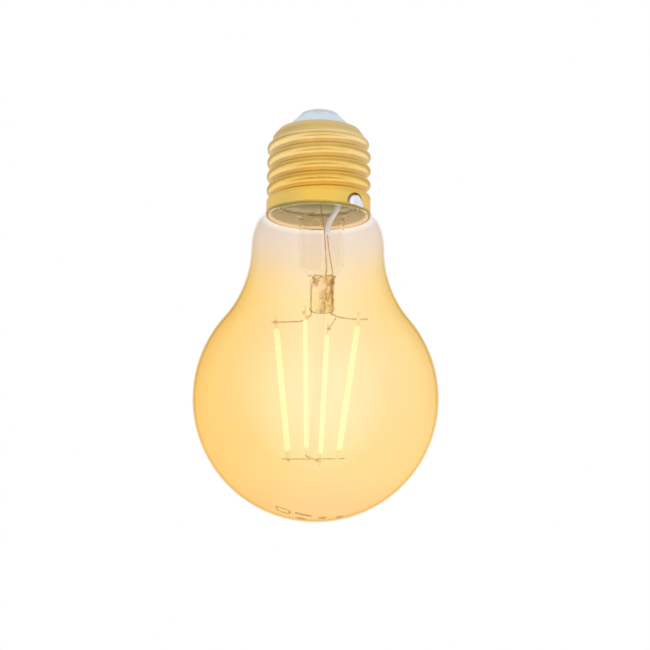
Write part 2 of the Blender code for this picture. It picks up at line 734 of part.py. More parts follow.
def sleeve(name, route, finish, sides=10):
    """A sleeve with a bore, along a route."""
    bm = bmesh.new()
    inner = ring_loops(bm, route, SLEEVE_BORE, sides)
    outer = ring_loops(bm, route, SLEEVE_RADIUS, sides)
    pairs = [*zip(inner, inner[1:]), *zip(outer, outer[1:])]
    pairs += [(inner[0], outer[0]), (inner[-1], outer[-1])]
    for first, second in pairs:
        bridge(bm, first, second)
    add(name, bm, finish)


# Driver ---------------------------------------------------------------------


def board_parts(parts, face, mats):
    """Puts parts on one face of the driver board: -1 is its near face, 1 its far face."""
    for name, (size, x, up, gap, finish, bevel) in parts.items():
        y = face * (BOARD[1] / 2.0 + PART_GAP + gap + size[1] / 2.0)
        block(name, size, (x, y, RIM + up), mats[finish], bevel)


def driver(mats):
    """The driver board in the cap, its parts, and the leads from the two contacts."""
    block("driver_board", BOARD, (0.0, 0.0, BOARD_Z), mats["board"])
    board_parts(FRONT_PARTS, -1.0, mats)
    board_parts(BACK_PARTS, 1.0, mats)
    for name, (outline, place, finish) in TURNED_PARTS.items():
        levels = [(radius, RIM + up) for radius, up in outline]
        turned(name, levels, mats[finish], SMALL_ROUND, place)
    wire("live_input_lead", smooth_route(LIVE_INPUT, 3), INPUT_RADIUS, mats["copper"])
    outward = Vector((math.cos(HOLE_ANGLE), math.sin(HOLE_ANGLE), 0.0))
    behind = [outward * reach + Vector((0.0, 0.0, z)) for reach, z in NEUTRAL_BEHIND_SOLDER]
    neutral = smooth_route([*behind, *NEUTRAL_TO_BOARD], 3)
    wire("neutral_input_lead", neutral, INPUT_RADIUS, mats["copper"])


def bulb():
    """Builds every piece of the bulb."""
    mats = {
        "brass": material("brass", (0.76, 0.52, 0.16), 0.3, metallic=1.0),
        "insulator": material("insulator", (0.66, 0.71, 0.73), 0.4),
        "contact": material("contact", (0.70, 0.73, 0.75), 0.35, metallic=1.0),
        "nickel": material("nickel", (0.62, 0.60, 0.56), 0.3, metallic=1.0),
        "solder": material("solder", (0.78, 0.79, 0.82), 0.35, metallic=1.0),
        "cement": material("cement", (0.45, 0.38, 0.22), 0.9),
        "amber_glass": material("amber_glass", (0.98, 0.78, 0.40), 0.03, transmission=1.0),
        "clear_glass": material("clear_glass", (0.98, 0.97, 0.95), 0.03, transmission=1.0),
        "dumet": material("dumet", (0.45, 0.28, 0.16), 0.4, metallic=1.0),
        "copper": material("copper", (0.72, 0.38, 0.20), 0.3, metallic=1.0),
        "molybdenum": material("molybdenum", (0.32, 0.27, 0.22), 0.4, metallic=1.0),
        "phosphor": material("phosphor", (1.0, 0.80, 0.30), 0.6, glow=1.0),
        "sleeve": material("sleeve", (0.86, 0.87, 0.88), 0.5),
        "board": material("board", (0.05, 0.25, 0.12), 0.5),
        "black_epoxy": material("black_epoxy", (0.03, 0.03, 0.03), 0.5),
        "ceramic_tan": material("ceramic_tan", (0.60, 0.45, 0.28), 0.5),
        "capacitor": material("capacitor", (0.04, 0.05, 0.10), 0.4),
        "resistor": material("resistor", (0.35, 0.50, 0.45), 0.5),
        "ferrite": material("ferrite", (0.08, 0.08, 0.08), 0.6),
        "tinned_steel": material("tinned_steel", (0.65, 0.66, 0.67), 0.3, metallic=1.0),
    }
    cap(mats)
    envelope(mats["amber_glass"])
    stem(mats["clear_glass"])
    filaments(mats["phosphor"], mats["nickel"], mats["molybdenum"])
    lead_wires(mats)
    driver(mats)


for leftover in list(bpy.data.objects):
    bpy.data.objects.remove(leftover)

assembly = bpy.data.objects.new("bulb", None)
bpy.context.scene.collection.objects.link(assembly)
bulb()
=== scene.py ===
"""The looks of the smart filament light bulb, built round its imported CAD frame."""

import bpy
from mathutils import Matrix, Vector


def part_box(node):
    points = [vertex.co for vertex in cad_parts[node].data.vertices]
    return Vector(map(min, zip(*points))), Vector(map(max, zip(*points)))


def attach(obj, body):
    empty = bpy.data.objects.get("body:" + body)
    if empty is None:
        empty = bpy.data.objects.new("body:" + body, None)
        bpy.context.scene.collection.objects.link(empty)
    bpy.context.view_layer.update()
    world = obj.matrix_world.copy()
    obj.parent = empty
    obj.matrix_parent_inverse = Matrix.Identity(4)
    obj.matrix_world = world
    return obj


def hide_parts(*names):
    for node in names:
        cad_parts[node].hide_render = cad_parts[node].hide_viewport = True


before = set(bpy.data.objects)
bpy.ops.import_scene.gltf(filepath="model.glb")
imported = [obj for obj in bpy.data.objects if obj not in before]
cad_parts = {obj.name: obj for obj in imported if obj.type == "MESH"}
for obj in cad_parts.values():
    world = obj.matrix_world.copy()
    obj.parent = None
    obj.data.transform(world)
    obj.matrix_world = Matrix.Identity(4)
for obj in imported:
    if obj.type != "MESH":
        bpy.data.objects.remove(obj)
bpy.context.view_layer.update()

import math

import bmesh
import bpy
from mathutils import Matrix, Vector, noise

# Levels and radii, from the frame

glass_low, glass_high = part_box("glass_envelope")
shell_low, shell_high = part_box("screw_shell")
contact_low, contact_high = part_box("centre_contact")
bead_low, bead_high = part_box("rod_bead")
sleeve_low, sleeve_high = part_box("insulating_sleeve")

BEAD = (bead_low + bead_high) / 2.0
BOTTOM = glass_low.z
COLLAR_TOP = glass_high.z
RIM = shell_low.z
SHELL_TOP = shell_high.z
THREAD_MAJOR = shell_high.x
GLOBE_RADIUS = glass_high.x
GLOBE = BOTTOM + GLOBE_RADIUS

# Shapes that the boxes don't give, as the CAD has them. The glass wall is drawn thinner.
GLASS = 0.0003
NECK_RADIUS = 0.0166
GLOBE_TO_NECK_RADIUS = 0.0285
RIM_GLASS_RADIUS = 0.0130
COLLAR_RADIUS = 0.0117
RIM_GAP = 0.0001
THREAD_PITCH = 0.003629
THREAD_DEPTH = 0.00100
THREAD_START = 0.0035
THREAD_FADE_IN = 0.0012
THREAD_END = 0.0212
SHOULDER_DEPTH_LOSS = 0.85
SHOULDER_START = 0.0180
SHOULDER_SLOPE = 0.38
SHOULDER_CURVE = 70.0
FIRST_GROOVE = 0.00559
SHELL_WALL = 0.00035
LIP_RADIUS = 0.0091
HOLE_ANGLE = math.radians(-45.0)
HOLE_HALF_WIDTH = 0.0028
HOLE_FOOT = 0.0010
HOLE_TOP = 0.0038
STEM_X = 0.0009
STEM_RADIUS = 0.0057
STEM_WALL = 0.0008
PINCH_X = 0.0012
PINCH_HALF_WIDTH = 0.0032
PINCH_HALF_DEPTH = 0.0017
PINCH_TOP = GLOBE + 0.0306
PINCH_FULL = PINCH_TOP - 0.0006
PINCH_SPLIT = PINCH_TOP + 0.0004
STEM_ROUND = PINCH_TOP + 0.0032
STEM_FLARE = 0.0049
PINCH_BOTTOM = GLOBE + 0.0211
LEAD_RADIUS = 0.00020
SUPPORT_RADIUS = 0.00017
OUTPUT_LEAD_RADIUS = 0.00015
SLEEVE_RADIUS = 0.0007
FILAMENT_WIDTH = 0.0014
FILAMENT_DEPTH = 0.0010
TAB_WIDTH = 0.0010
TAB_HALF_DEPTH = 0.0001
UPPER_WELD_LEVEL = GLOBE + 0.0194
FILAMENTS = ("right", "far", "left", "near")

# Edges sharper than this, in degrees, stay crisp; welds and solder are smoother.
SHARP = 40.0
SOLDER_SHARP = 60.0
WELD_SHARP = 80.0


# Node helpers


class Nodes:
    """Short calls for the nodes of a material or of the surroundings."""

    def __init__(self, tree, coordinates):
        self.tree = tree
        self.place = self.node("ShaderNodeTexCoord").outputs[coordinates]

    def node(self, kind, **values):
        made = self.tree.nodes.new(kind)
        for key, value in values.items():
            setattr(made, key, value)
        return made

    def join(self, node, **values):
        """Sets a node's sockets by name, from numbers, colours or other nodes' outputs."""
        for key, value in values.items():
            self.put(value, node.inputs[key.replace("_", " ")])
        return node

    def put(self, value, socket):
        if isinstance(value, bpy.types.NodeSocket):
            self.tree.links.new(value, socket)
        elif isinstance(value, tuple) and len(value) < len(socket.default_value):
            socket.default_value = (*value, 1.0)
        else:
            socket.default_value = value

    def stretched(self, scale):
        """The coordinates, scaled on each axis."""
        return self.join(self.node("ShaderNodeMapping"), Scale=scale, Vector=self.place).outputs[0]

    def noise(self, scale, detail=4.0, rough=0.55, where=None):
        made = self.node("ShaderNodeTexNoise")
        self.join(made, Scale=scale, Detail=detail, Roughness=rough, Vector=where or self.place)
        return made.outputs["Fac"]

    def math(self, operation, *values):
        made = self.node("ShaderNodeMath", operation=operation)
        for index, value in enumerate(values):
            self.put(value, made.inputs[index])
        return made.outputs[0]

    def span(self, value, low, high, to_low=0.0, to_high=1.0):
        made = self.node("ShaderNodeMapRange")
        self.join(made, Value=value, From_Min=low, From_Max=high, To_Min=to_low, To_Max=to_high)
        return made.outputs["Result"]

    def axis(self, name):
        return self.join(self.node("ShaderNodeSeparateXYZ"), Vector=self.place).outputs[name]

    def radius(self):
        """Distance from the bulb's axis."""
        x = self.axis("X")
        y = self.axis("Y")
        square = self.math("ADD", self.math("MULTIPLY", x, x), self.math("MULTIPLY", y, y))
        return self.math("SQRT", square)

    def ramp(self, factor, stops, interpolation="LINEAR"):
        made = self.node("ShaderNodeValToRGB")
        made.color_ramp.interpolation = interpolation
        elements = made.color_ramp.elements
        for index, (position, colour) in enumerate(stops):
            element = elements[index] if index < 2 else elements.new(position)
            element.position = position
            element.color = (*colour, 1.0)
        self.put(factor, made.inputs["Fac"])
        return made.outputs["Color"]

    def mix(self, factor, first, second, blend="MIX"):
        made = self.node("ShaderNodeMix", data_type="RGBA", blend_type=blend)
        for socket, value in ((0, factor), (6, first), (7, second)):
            self.put(value, made.inputs[socket])
        return made.outputs[2]

    def multiply(self, first, second):
        return self.mix(1.0, first, second, "MULTIPLY")


class Finish(Nodes):
    """A Principled material whose sockets are fed by nodes."""

    def __init__(self, name, colour, roughness=0.5, metallic=0.0):
        self.material = bpy.data.materials.new(name)
        self.material.use_nodes = True
        super().__init__(self.material.node_tree, "Object")
        self.shader = self.tree.nodes["Principled BSDF"]
        self.feed(colour, "Base Color")
        self.feed(roughness, "Roughness")
        self.feed(metallic, "Metallic")

    def feed(self, value, socket):
        self.put(value, self.shader.inputs[socket])

    def tones(self, factor, low, dark, high, light):
        """Colours the surface from dark to light as the factor goes from low to high."""
        self.feed(self.ramp(factor, [(low, dark), (high, light)]), "Base Color")

    def gloss(self, grain, low, high):
        self.feed(self.span(grain, 0.3, 0.7, low, high), "Roughness")

    def bump(self, height, strength, distance):
        made = self.node("ShaderNodeBump")
        self.join(made, Strength=strength, Distance=distance, Height=height)
        self.feed(made.outputs["Normal"], "Normal")


def glass(name, colour, index, clear=1.0):
    """Clear glass; the part of it that isn't clear is milky."""
    made = Finish(name, colour, 0.0)
    made.feed(clear, "Transmission Weight")
    made.feed(index, "IOR")
    return made


def amber_glass():
    """Blown glass, clear at the neck and coated amber over the globe; the paler middle is a painted glow
    of the lit filaments, and the left side is painted shade.
    """
    made = glass("amber_glass", (0.99, 0.85, 0.55), 1.006)
    made.feed((1.0, 0.80, 0.45, 1.0), "Specular Tint")
    facing = made.node("ShaderNodeLayerWeight")
    made.join(facing, Blend=0.5)
    across = facing.outputs["Facing"]
    level = made.axis("Z")
    # Painted glow: the coat is paler in the middle, as if lit by the filaments; it darkens towards the
    # edges, where the wall is seen slantwise, more so on the upper globe.
    low_painted_glow = [(0.0, (0.99, 0.905, 0.67)), (0.06, (0.99, 0.885, 0.63)), (0.2, (0.985, 0.835, 0.54))]
    low_edge = [(0.45, (0.985, 0.825, 0.525)), (0.80, (0.975, 0.81, 0.50))]
    low_edge += [(0.88, (0.86, 0.62, 0.25)), (1.0, (0.72, 0.50, 0.16))]
    high_painted_glow = [(0.0, (0.99, 0.91, 0.70)), (0.1, (0.99, 0.885, 0.66)), (0.3, (0.985, 0.84, 0.58))]
    high_edge = [(0.5, (0.975, 0.83, 0.53)), (0.80, (0.90, 0.73, 0.42))]
    high_edge += [(0.88, (0.68, 0.50, 0.20)), (1.0, (0.46, 0.34, 0.13))]
    bare = [(0.0, (0.90, 0.83, 0.79)), (0.5, (0.88, 0.81, 0.78))]
    bare += [(0.85, (0.83, 0.77, 0.74)), (1.0, (0.60, 0.54, 0.50))]
    raised = made.span(level, GLOBE - 0.012, GLOBE + 0.018)
    low_coat = made.ramp(across, low_painted_glow + low_edge)
    coat = made.mix(raised, low_coat, made.ramp(across, high_painted_glow + high_edge))
    crown = made.span(level, GLOBE - 0.018, GLOBE - 0.026)
    coat = made.mix(crown, coat, made.multiply(coat, (1.0, 0.965, 1.0)))
    drifting = made.math("MULTIPLY_ADD", made.noise(40.0, 3.0), 0.006, level)
    uncoated = made.span(drifting, GLOBE + 0.0315, GLOBE + 0.0462)
    tint = made.mix(uncoated, coat, made.ramp(across, bare))
    # Painted shade: the left side of the coat is more amber, and the bare neck greyer.
    side = made.span(made.axis("X"), -0.024, 0.0)
    left_shade_tint = made.mix(side, (1.0, 0.955, 0.85), (1.0, 1.0, 1.0))
    left_shade_grey = made.mix(side, (0.94, 0.93, 0.91), (1.0, 1.0, 1.0))
    tint = made.multiply(tint, made.mix(uncoated, left_shade_tint, left_shade_grey))
    mouth = made.span(level, RIM - 0.0011, RIM - 0.0004)
    tint = made.mix(mouth, tint, (0.99, 0.975, 0.965))
    clouds = made.span(made.noise(90.0, 4.0), 0.35, 0.65, 0.985, 1.0)
    made.feed(made.multiply(tint, clouds), "Base Color")
    return made


def streaked_glass(name, index, scale, dark, light, strength, distance):
    """Drawn glass, with faint lines along it."""
    made = glass(name, light, index)
    lines = made.noise(scale, 2.0, where=made.stretched((1.0, 1.0, 0.03)))
    made.tones(lines, 0.3, dark, 0.7, light)
    made.bump(lines, strength, distance)
    return made


def clear_glass():
    """The glass of the stem and its rod."""
    dark, light = (0.95, 0.92, 0.88), (0.99, 0.98, 0.97)
    return streaked_glass("clear_glass", 1.03, 900.0, dark, light, 0.15, 0.0002)


def thin_glass():
    """Very clear glass of the exhaust tube."""
    dark, light = (0.97, 0.96, 0.95), (1.0, 1.0, 1.0)
    return streaked_glass("thin_glass", 1.04, 700.0, dark, light, 0.05, 0.0001)


def pinch_glass():
    """The pinched end of the stem: wavy, with brown veins where it seals the lead wires."""
    made = glass("pinch_glass", (0.93, 0.84, 0.70), 1.15, 0.95)
    folds = made.noise(420.0, 4.0, 0.6)
    right = made.span(made.axis("X"), PINCH_X - 0.0010, PINCH_X + 0.0010)
    plain = made.ramp(folds, [(0.35, (0.95, 0.86, 0.70)), (0.6, (0.99, 0.95, 0.87))])
    sealed = made.ramp(folds, [(0.35, (0.76, 0.56, 0.34)), (0.65, (0.95, 0.84, 0.66))])
    swirl = made.noise(330.0, 2.0, 0.5, made.stretched((1.0, 1.0, 0.7)))
    from_middle = made.math("ABSOLUTE", made.math("SUBTRACT", swirl, 0.5))
    vein = made.span(from_middle, 0.015, 0.055, 1.0, 0.0)
    top = made.span(made.axis("Z"), PINCH_TOP - 0.0030, PINCH_TOP - 0.0015)
    foot = made.span(made.axis("Z"), PINCH_BOTTOM + 0.0018, PINCH_BOTTOM + 0.0008)
    where = made.math("MINIMUM", made.math("ADD", made.math("ADD", right, top), foot), 1.0)
    amount = made.math("MULTIPLY", vein, where)
    made.feed(made.mix(amount, made.mix(right, plain, sealed), (0.40, 0.24, 0.10)), "Base Color")
    made.bump(made.noise(300.0, 3.0), 0.5, 0.0005)
    return made


def brass():
    """Rolled brass sheet: pale on the flanks as a painted highlight, deeper in the grooves and on the
    crests as painted shade, and olive at the rolled rim as painted shade.
    """
    made = Finish("brass", (0.86, 0.60, 0.20), 0.25, 1.0)
    level = made.axis("Z")
    radius = made.radius()
    wear = made.noise(260.0, 5.0)
    spread = made.math("MULTIPLY_ADD", made.math("SUBTRACT", wear, 0.5), 0.0003, radius)
    crest = made.span(spread, THREAD_MAJOR - THREAD_DEPTH, THREAD_MAJOR)
    # Painted light on the thread: a pale painted highlight on the flanks, painted shade in the grooves
    # and on the crests.
    painted_thread_light = [(0.0, (0.76, 0.50, 0.16)), (0.2, (0.86, 0.62, 0.25)), (0.5, (0.88, 0.70, 0.36))]
    thread_with_painted_light = made.ramp(crest, painted_thread_light + [(0.8, (0.76, 0.56, 0.23)), (1.0, (0.68, 0.45, 0.11))])
    low = made.span(level, RIM + 0.017, RIM + 0.006)
    thread_with_painted_light = made.mix(low, thread_with_painted_light, made.multiply(thread_with_painted_light, (1.0, 0.88, 0.50)))
    high = made.span(level, RIM + 0.0185, RIM + 0.0205)
    thread_with_painted_light = made.mix(high, thread_with_painted_light, (0.66, 0.47, 0.18))
    plain = made.mix(wear, (0.92, 0.59, 0.11), (0.99, 0.67, 0.15))
    wave = made.math("MULTIPLY_ADD", wear, 0.0006, level)
    foot = made.span(wave, RIM + THREAD_START + 0.0025, RIM + THREAD_START)
    body = made.mix(foot, thread_with_painted_light, plain)
    patina = made.span(made.noise(170.0, 6.0, 0.65), 0.52, 0.72, 0.0, 0.4)
    body = made.mix(patina, body, made.multiply(body, (0.90, 0.86, 0.80)))
    # Painted shade: the outside of the rolled rim is dark olive.
    outside = made.span(radius, THREAD_MAJOR - 0.0003, THREAD_MAJOR - 0.0001)
    rim_painted_shade = made.math("MULTIPLY", outside, made.span(wave, RIM + 0.0013, RIM + 0.0007))
    made.feed(made.mix(rim_painted_shade, body, (0.38, 0.29, 0.08)), "Base Color")
    lines = made.noise(500.0, 3.0, where=made.stretched((0.4, 0.4, 14.0)))
    made.feed(made.math("MULTIPLY_ADD", lines, 0.12, 0.12), "Roughness")
    made.bump(lines, 0.10, 0.00006)
    return made


def flux():
    """Brown flux residue, glossy where it is thick."""
    made = Finish("flux", (0.10, 0.06, 0.03), 0.3)
    pools = made.noise(800.0, 4.0)
    made.tones(pools, 0.35, (0.12, 0.07, 0.03), 0.7, (0.34, 0.20, 0.09))
    made.gloss(pools, 0.2, 0.6)
    made.bump(pools, 0.3, 0.0001)
    return made


def insulator():
    """Pale blue-grey insulator, satin, very slightly mottled."""
    made = Finish("insulator", (0.55, 0.62, 0.66), 0.38)
    mottle = made.noise(350.0, 5.0)
    made.tones(mottle, 0.3, (0.50, 0.58, 0.62), 0.7, (0.60, 0.67, 0.70))
    made.gloss(mottle, 0.32, 0.46)
    made.bump(made.noise(1500.0, 3.0), 0.08, 0.00005)
    return made


def contact():
    """Plated contact with faint turning rings and a rubbed middle."""
    made = Finish("contact", (0.60, 0.65, 0.68), 0.35, 0.55)
    rings = made.node("ShaderNodeTexWave", wave_type="RINGS", rings_direction="Z")
    made.join(rings, Scale=900.0, Distortion=0.6, Vector=made.place)
    rub = made.noise(300.0, 4.0)
    made.tones(rub, 0.3, (0.52, 0.57, 0.60), 0.7, (0.66, 0.70, 0.72))
    made.gloss(rub, 0.28, 0.48)
    made.bump(rings.outputs["Fac"], 0.06, 0.00004)
    return made


def solder():
    """Bright solder, lightly wrinkled."""
    made = Finish("solder", (0.86, 0.86, 0.90), 0.3, 0.75)
    frost = made.noise(900.0, 5.0)
    made.tones(frost, 0.3, (0.74, 0.74, 0.78), 0.7, (0.93, 0.92, 0.95))
    made.gloss(frost, 0.22, 0.5)
    made.bump(made.noise(700.0, 3.0), 0.5, 0.0002)
    return made


def cement():
    """Capping cement, matt and grainy: olive on the wash as painted shade, and paler orange near the rim
    as painted light.
    """
    made = Finish("cement", (0.40, 0.32, 0.16), 0.85)
    grain = made.noise(700.0, 6.0, 0.65)
    shaded_wash = made.ramp(grain, [(0.3, (0.74, 0.67, 0.38)), (0.7, (0.82, 0.76, 0.47))])
    # Painted light and shade: the wash is olive where shaded, and it turns pale orange near the rim,
    # where light comes in.
    low = made.span(made.axis("Z"), RIM + 0.0044, RIM + 0.0020)
    made.feed(made.mix(low, shaded_wash, (0.96, 0.77, 0.46)), "Base Color")
    made.bump(grain, 0.25, 0.0001)
    return made


def drawn_wire(name, dark, light, rough=0.35):
    """Drawn wire: streaks along it and patches dulled by heat."""
    made = Finish(name, light, rough, 0.35)
    streak = made.noise(1200.0, 4.0)
    made.tones(streak, 0.35, dark, 0.65, light)
    made.gloss(streak, rough - 0.1, rough + 0.2)
    made.bump(streak, 0.2, 0.00003)
    return made


def phosphor():
    """Yellow phosphor in silicone over lit chips; the chips show as a faint row of brighter spots."""
    made = Finish("phosphor", (0.95, 0.80, 0.35), 0.5)
    wave = made.node("ShaderNodeTexWave", bands_direction="Z")
    made.join(wave, Scale=180.0, Distortion=0.3, Vector=made.place)
    grain = made.noise(2500.0, 3.0)
    spots = made.math("MULTIPLY_ADD", grain, 0.4, wave.outputs["Fac"])
    light = made.ramp(spots, [(0.2, (0.93, 0.98, 0.67)), (1.0, (0.95, 1.0, 0.82))])
    made.feed(light, "Emission Color")
    made.feed(0.84, "Emission Strength")
    made.tones(grain, 0.3, (0.26, 0.22, 0.09), 0.7, (0.32, 0.28, 0.14))
    made.bump(grain, 0.3, 0.00005)
    return made


def sleeve():
    """White glass-fibre sleeve with a fine weave."""
    made = Finish("sleeve", (0.80, 0.82, 0.84), 0.6)
    cells = made.join(made.node("ShaderNodeTexVoronoi"), Scale=2600.0, Vector=made.place)
    weave = cells.outputs["Distance"]
    made.tones(weave, 0.0, (0.97, 0.98, 1.0), 0.5, (0.86, 0.88, 0.90))
    made.feed(made.span(weave, 0.0, 0.6, 0.5, 0.7), "Roughness")
    made.bump(weave, 0.4, 0.0001)
    return made


def circuit_board():
    """Green solder mask over copper tracks."""
    made = Finish("circuit_board", (0.03, 0.20, 0.09), 0.35)
    tracks = made.node("ShaderNodeTexBrick", offset=0.37, squash=0.7)
    made.join(tracks, Scale=420.0, Mortar_Size=0.12, Vector=made.place)
    mask = made.mix(tracks.outputs["Fac"], (0.02, 0.15, 0.07), (0.05, 0.30, 0.12))
    fibre = made.noise(900.0, 4.0)
    made.feed(made.mix(made.math("MULTIPLY", fibre, 0.35), mask, (0.10, 0.36, 0.18)), "Base Color")
    made.bump(tracks.outputs["Fac"], 0.3, 0.00004)
    return made


def speckled(name, dark, light, rough, scale, metallic=0.0, bump=0.3):
    """A moulded, fired or plated surface with fine speckle in colour, gloss and height."""
    made = Finish(name, light, rough, metallic)
    grain = made.noise(scale, 5.0, 0.6)
    made.tones(grain, 0.3, dark, 0.7, light)
    made.gloss(grain, rough - 0.08, rough + 0.12)
    made.bump(grain, bump, 0.00006)
    return made


def banded(name, low, high, bands, rough):
    """A small part with colour bands along its length, between two levels."""
    made = Finish(name, bands[0][1], rough)
    steps = made.ramp(made.span(made.axis("Z"), low, high), bands, "CONSTANT")
    grain = made.span(made.noise(900.0, 4.0), 0.3, 0.7, 0.8, 1.0)
    made.feed(made.multiply(steps, grain), "Base Color")
    made.bump(made.noise(1400.0, 3.0), 0.1, 0.00004)
    return made


def ink():
    """Brown stamped ink, thinner in places."""
    made = Finish("stamped_ink", (0.50, 0.30, 0.14), 0.6)
    thin = made.noise(900.0, 4.0)
    made.tones(thin, 0.35, (0.42, 0.24, 0.09), 0.7, (0.74, 0.50, 0.26))
    made.bump(thin, 0.2, 0.00003)
    return made


# Mesh helpers


def finish_mesh(name, bm, finishes, sharp_degrees=SHARP):
    """Puts a bmesh in the scene as one smooth-shaded piece."""
    bmesh.ops.remove_doubles(bm, verts=bm.verts, dist=1e-7)
    bmesh.ops.recalc_face_normals(bm, faces=bm.faces)
    mesh = bpy.data.meshes.new(name)
    bm.to_mesh(mesh)
    bm.free()
    mesh.shade_smooth()
    mesh.set_sharp_from_angle(angle=math.radians(sharp_degrees))
    for finish in finishes:
        mesh.materials.append(finish.material)
    made = bpy.data.objects.new(name, mesh)
    bpy.context.scene.collection.objects.link(made)
    return made


def bridge(bm, loops, ring=True, slot=0):
    """Adds the faces between each row of corners and the next; a ring's last corner meets its first."""
    for low, high in zip(loops, loops[1:]):
        for index in range(len(low) if ring else len(low) - 1):
            other = (index + 1) % len(low)
            face = bm.faces.new((low[index], low[other], high[other], high[index]))
            face.material_index = slot


def sweep(bm, points_at, segments, ring=True):
    """Adds a skin round the vertical axis through the points that points_at(angle) lists."""
    columns = []
    for index in range(segments):
        points = points_at(2.0 * math.pi * index / segments)
        columns.append([bm.verts.new(point) for point in points])
    bridge(bm, columns + columns[:1], ring)


def turned(bm, outline, segments, x=0.0, y=0.0):
    """Adds a solid of revolution from (radius, height) points, round a vertical line at x, y."""

    def points_at(angle):
        return [(x + r * math.cos(angle), y + r * math.sin(angle), z) for r, z in outline]

    sweep(bm, points_at, segments, ring=outline[0][0] > 0.0)


def arc(centre_r, centre_z, radius_r, radius_z, start, end, steps):
    """Points on an elliptical arc from start to end, in degrees."""
    points = []
    for step in range(steps + 1):
        angle = math.radians(start + (end - start) * step / steps)
        points.append((centre_r + radius_r * math.cos(angle), centre_z + radius_z * math.sin(angle)))
    return points


def smooth_route(knots, per_span=8):
    """A Catmull-Rom curve through the knots."""
    knots = [Vector(knot) for knot in knots]
    padded = [2 * knots[0] - knots[1]] + knots + [2 * knots[-1] - knots[-2]]
    route = []
    for before, start, end, after in zip(padded, padded[1:], padded[2:], padded[3:]):
        slope = end - before
        bend = 2 * before - 5 * start + 4 * end - after
        twist = 3 * start - before - 3 * end + after
        for step in range(per_span):
            t = step / per_span
            route.append(0.5 * (2 * start + slope * t + bend * t**2 + twist * t**3))
    return route + [knots[-1]]


def tube(bm, route, radius, sides=12, slot=0):
    """Adds a round tube with domed ends; radius may be a function of the share along it."""
    size = radius if callable(radius) else lambda share: radius
    side = (route[1] - route[0]).orthogonal().normalized()
    rings = []
    for index, place in enumerate(route):
        ahead = route[min(index + 1, len(route) - 1)] - route[max(index - 1, 0)]
        ahead.normalize()
        side = (side - ahead * side.dot(ahead)).normalized()
        other = ahead.cross(side)
        rings.append((place, side.copy(), other, ahead, size(index / (len(route) - 1))))
    loops = []
    first = rings[0]
    last = rings[-1]
    domes = ((0.94, 0.35), (0.64, 0.76))
    ordered = [(first[0] - first[3] * first[4] * out, first, shrink) for shrink, out in domes[::-1]]
    ordered += [(ring[0], ring, 1.0) for ring in rings]
    ordered += [(last[0] + last[3] * last[4] * out, last, shrink) for shrink, out in domes]
    for place, (_, across, other, _, reach), shrink in ordered:
        loop = []
        for step in range(sides):
            angle = 2.0 * math.pi * step / sides
            spot = (across * math.cos(angle) + other * math.sin(angle)) * reach * shrink
            loop.append(bm.verts.new(place + spot))
        loops.append(loop)
    bridge(bm, loops, slot=slot)
    for loop, ring, sign in ((loops[0], first, -1.0), (loops[-1], last, 1.0)):
        tip = bm.verts.new(ring[0] + ring[3] * ring[4] * sign)
        for step in range(sides):
            face = bm.faces.new((loop[step], loop[(step + 1) % sides], tip))
            face.material_index = slot


def blob(bm, centre, size, slot=0):
    """Adds a slightly lumpy drop, such as a weld."""
    made = bmesh.ops.create_icosphere(bm, subdivisions=2, radius=1.0)
    for vert in made["verts"]:
        lump = 1.0 + 0.18 * noise.noise(vert.co * 1.7 + Vector(centre) * 900.0)
        vert.co = Vector(centre) + vert.co * Vector(size) * lump
        for face in vert.link_faces:
            face.material_index = slot


def fade(value, low, high):
    """0 below low, 1 above high, and a smooth step between."""
    t = min(max((value - low) / (high - low), 0.0), 1.0)
    return t * t * (3.0 - 2.0 * t)


def finished(made, slot_name, *nodes):
    """Makes a piece ride on the bulb's one body, in place of the CAD nodes it stands for."""
    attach(made, "root")
    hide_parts(*nodes)


def piece(name, bm, finishes, slot_name, *nodes):
    """Turns a bmesh into a finished piece."""
    made = finish_mesh(name, bm, finishes)
    finished(made, slot_name, *nodes)
    return made


def lets_light_in(made):
    """Thin glass hardly shades what is behind it, so it leaves the light on the inside alone."""
    made.visible_shadow = False
    made.visible_diffuse = False


# Cap


def thread_drop(height, angle):
    """How far the round thread lies below its crest; crest and root are arcs of one radius."""
    quarter = THREAD_PITCH / 4.0
    half_depth = THREAD_DEPTH / 2.0
    arc_radius = (quarter**2 + half_depth**2) / (2.0 * half_depth)
    turn = (angle + math.pi / 2.0) / (2.0 * math.pi)
    place = (height - FIRST_GROOVE) / THREAD_PITCH - turn
    from_root = abs(place - round(place)) * THREAD_PITCH
    if from_root < quarter:
        return THREAD_DEPTH - (arc_radius - math.sqrt(arc_radius**2 - from_root**2))
    from_crest = 2.0 * quarter - from_root
    return arc_radius - math.sqrt(arc_radius**2 - from_crest**2)


def shell_radius(height, angle):
    """Outer radius of the screw shell, height above its rim."""
    up = max(height - SHOULDER_START, 0.0)
    body = THREAD_MAJOR - SHOULDER_SLOPE * up - SHOULDER_CURVE * up**2
    depth = fade(height, THREAD_START, THREAD_START + THREAD_FADE_IN)
    depth *= 1.0 - SHOULDER_DEPTH_LOSS * fade(height, SHOULDER_START, THREAD_END)
    return body - depth * thread_drop(height, angle)


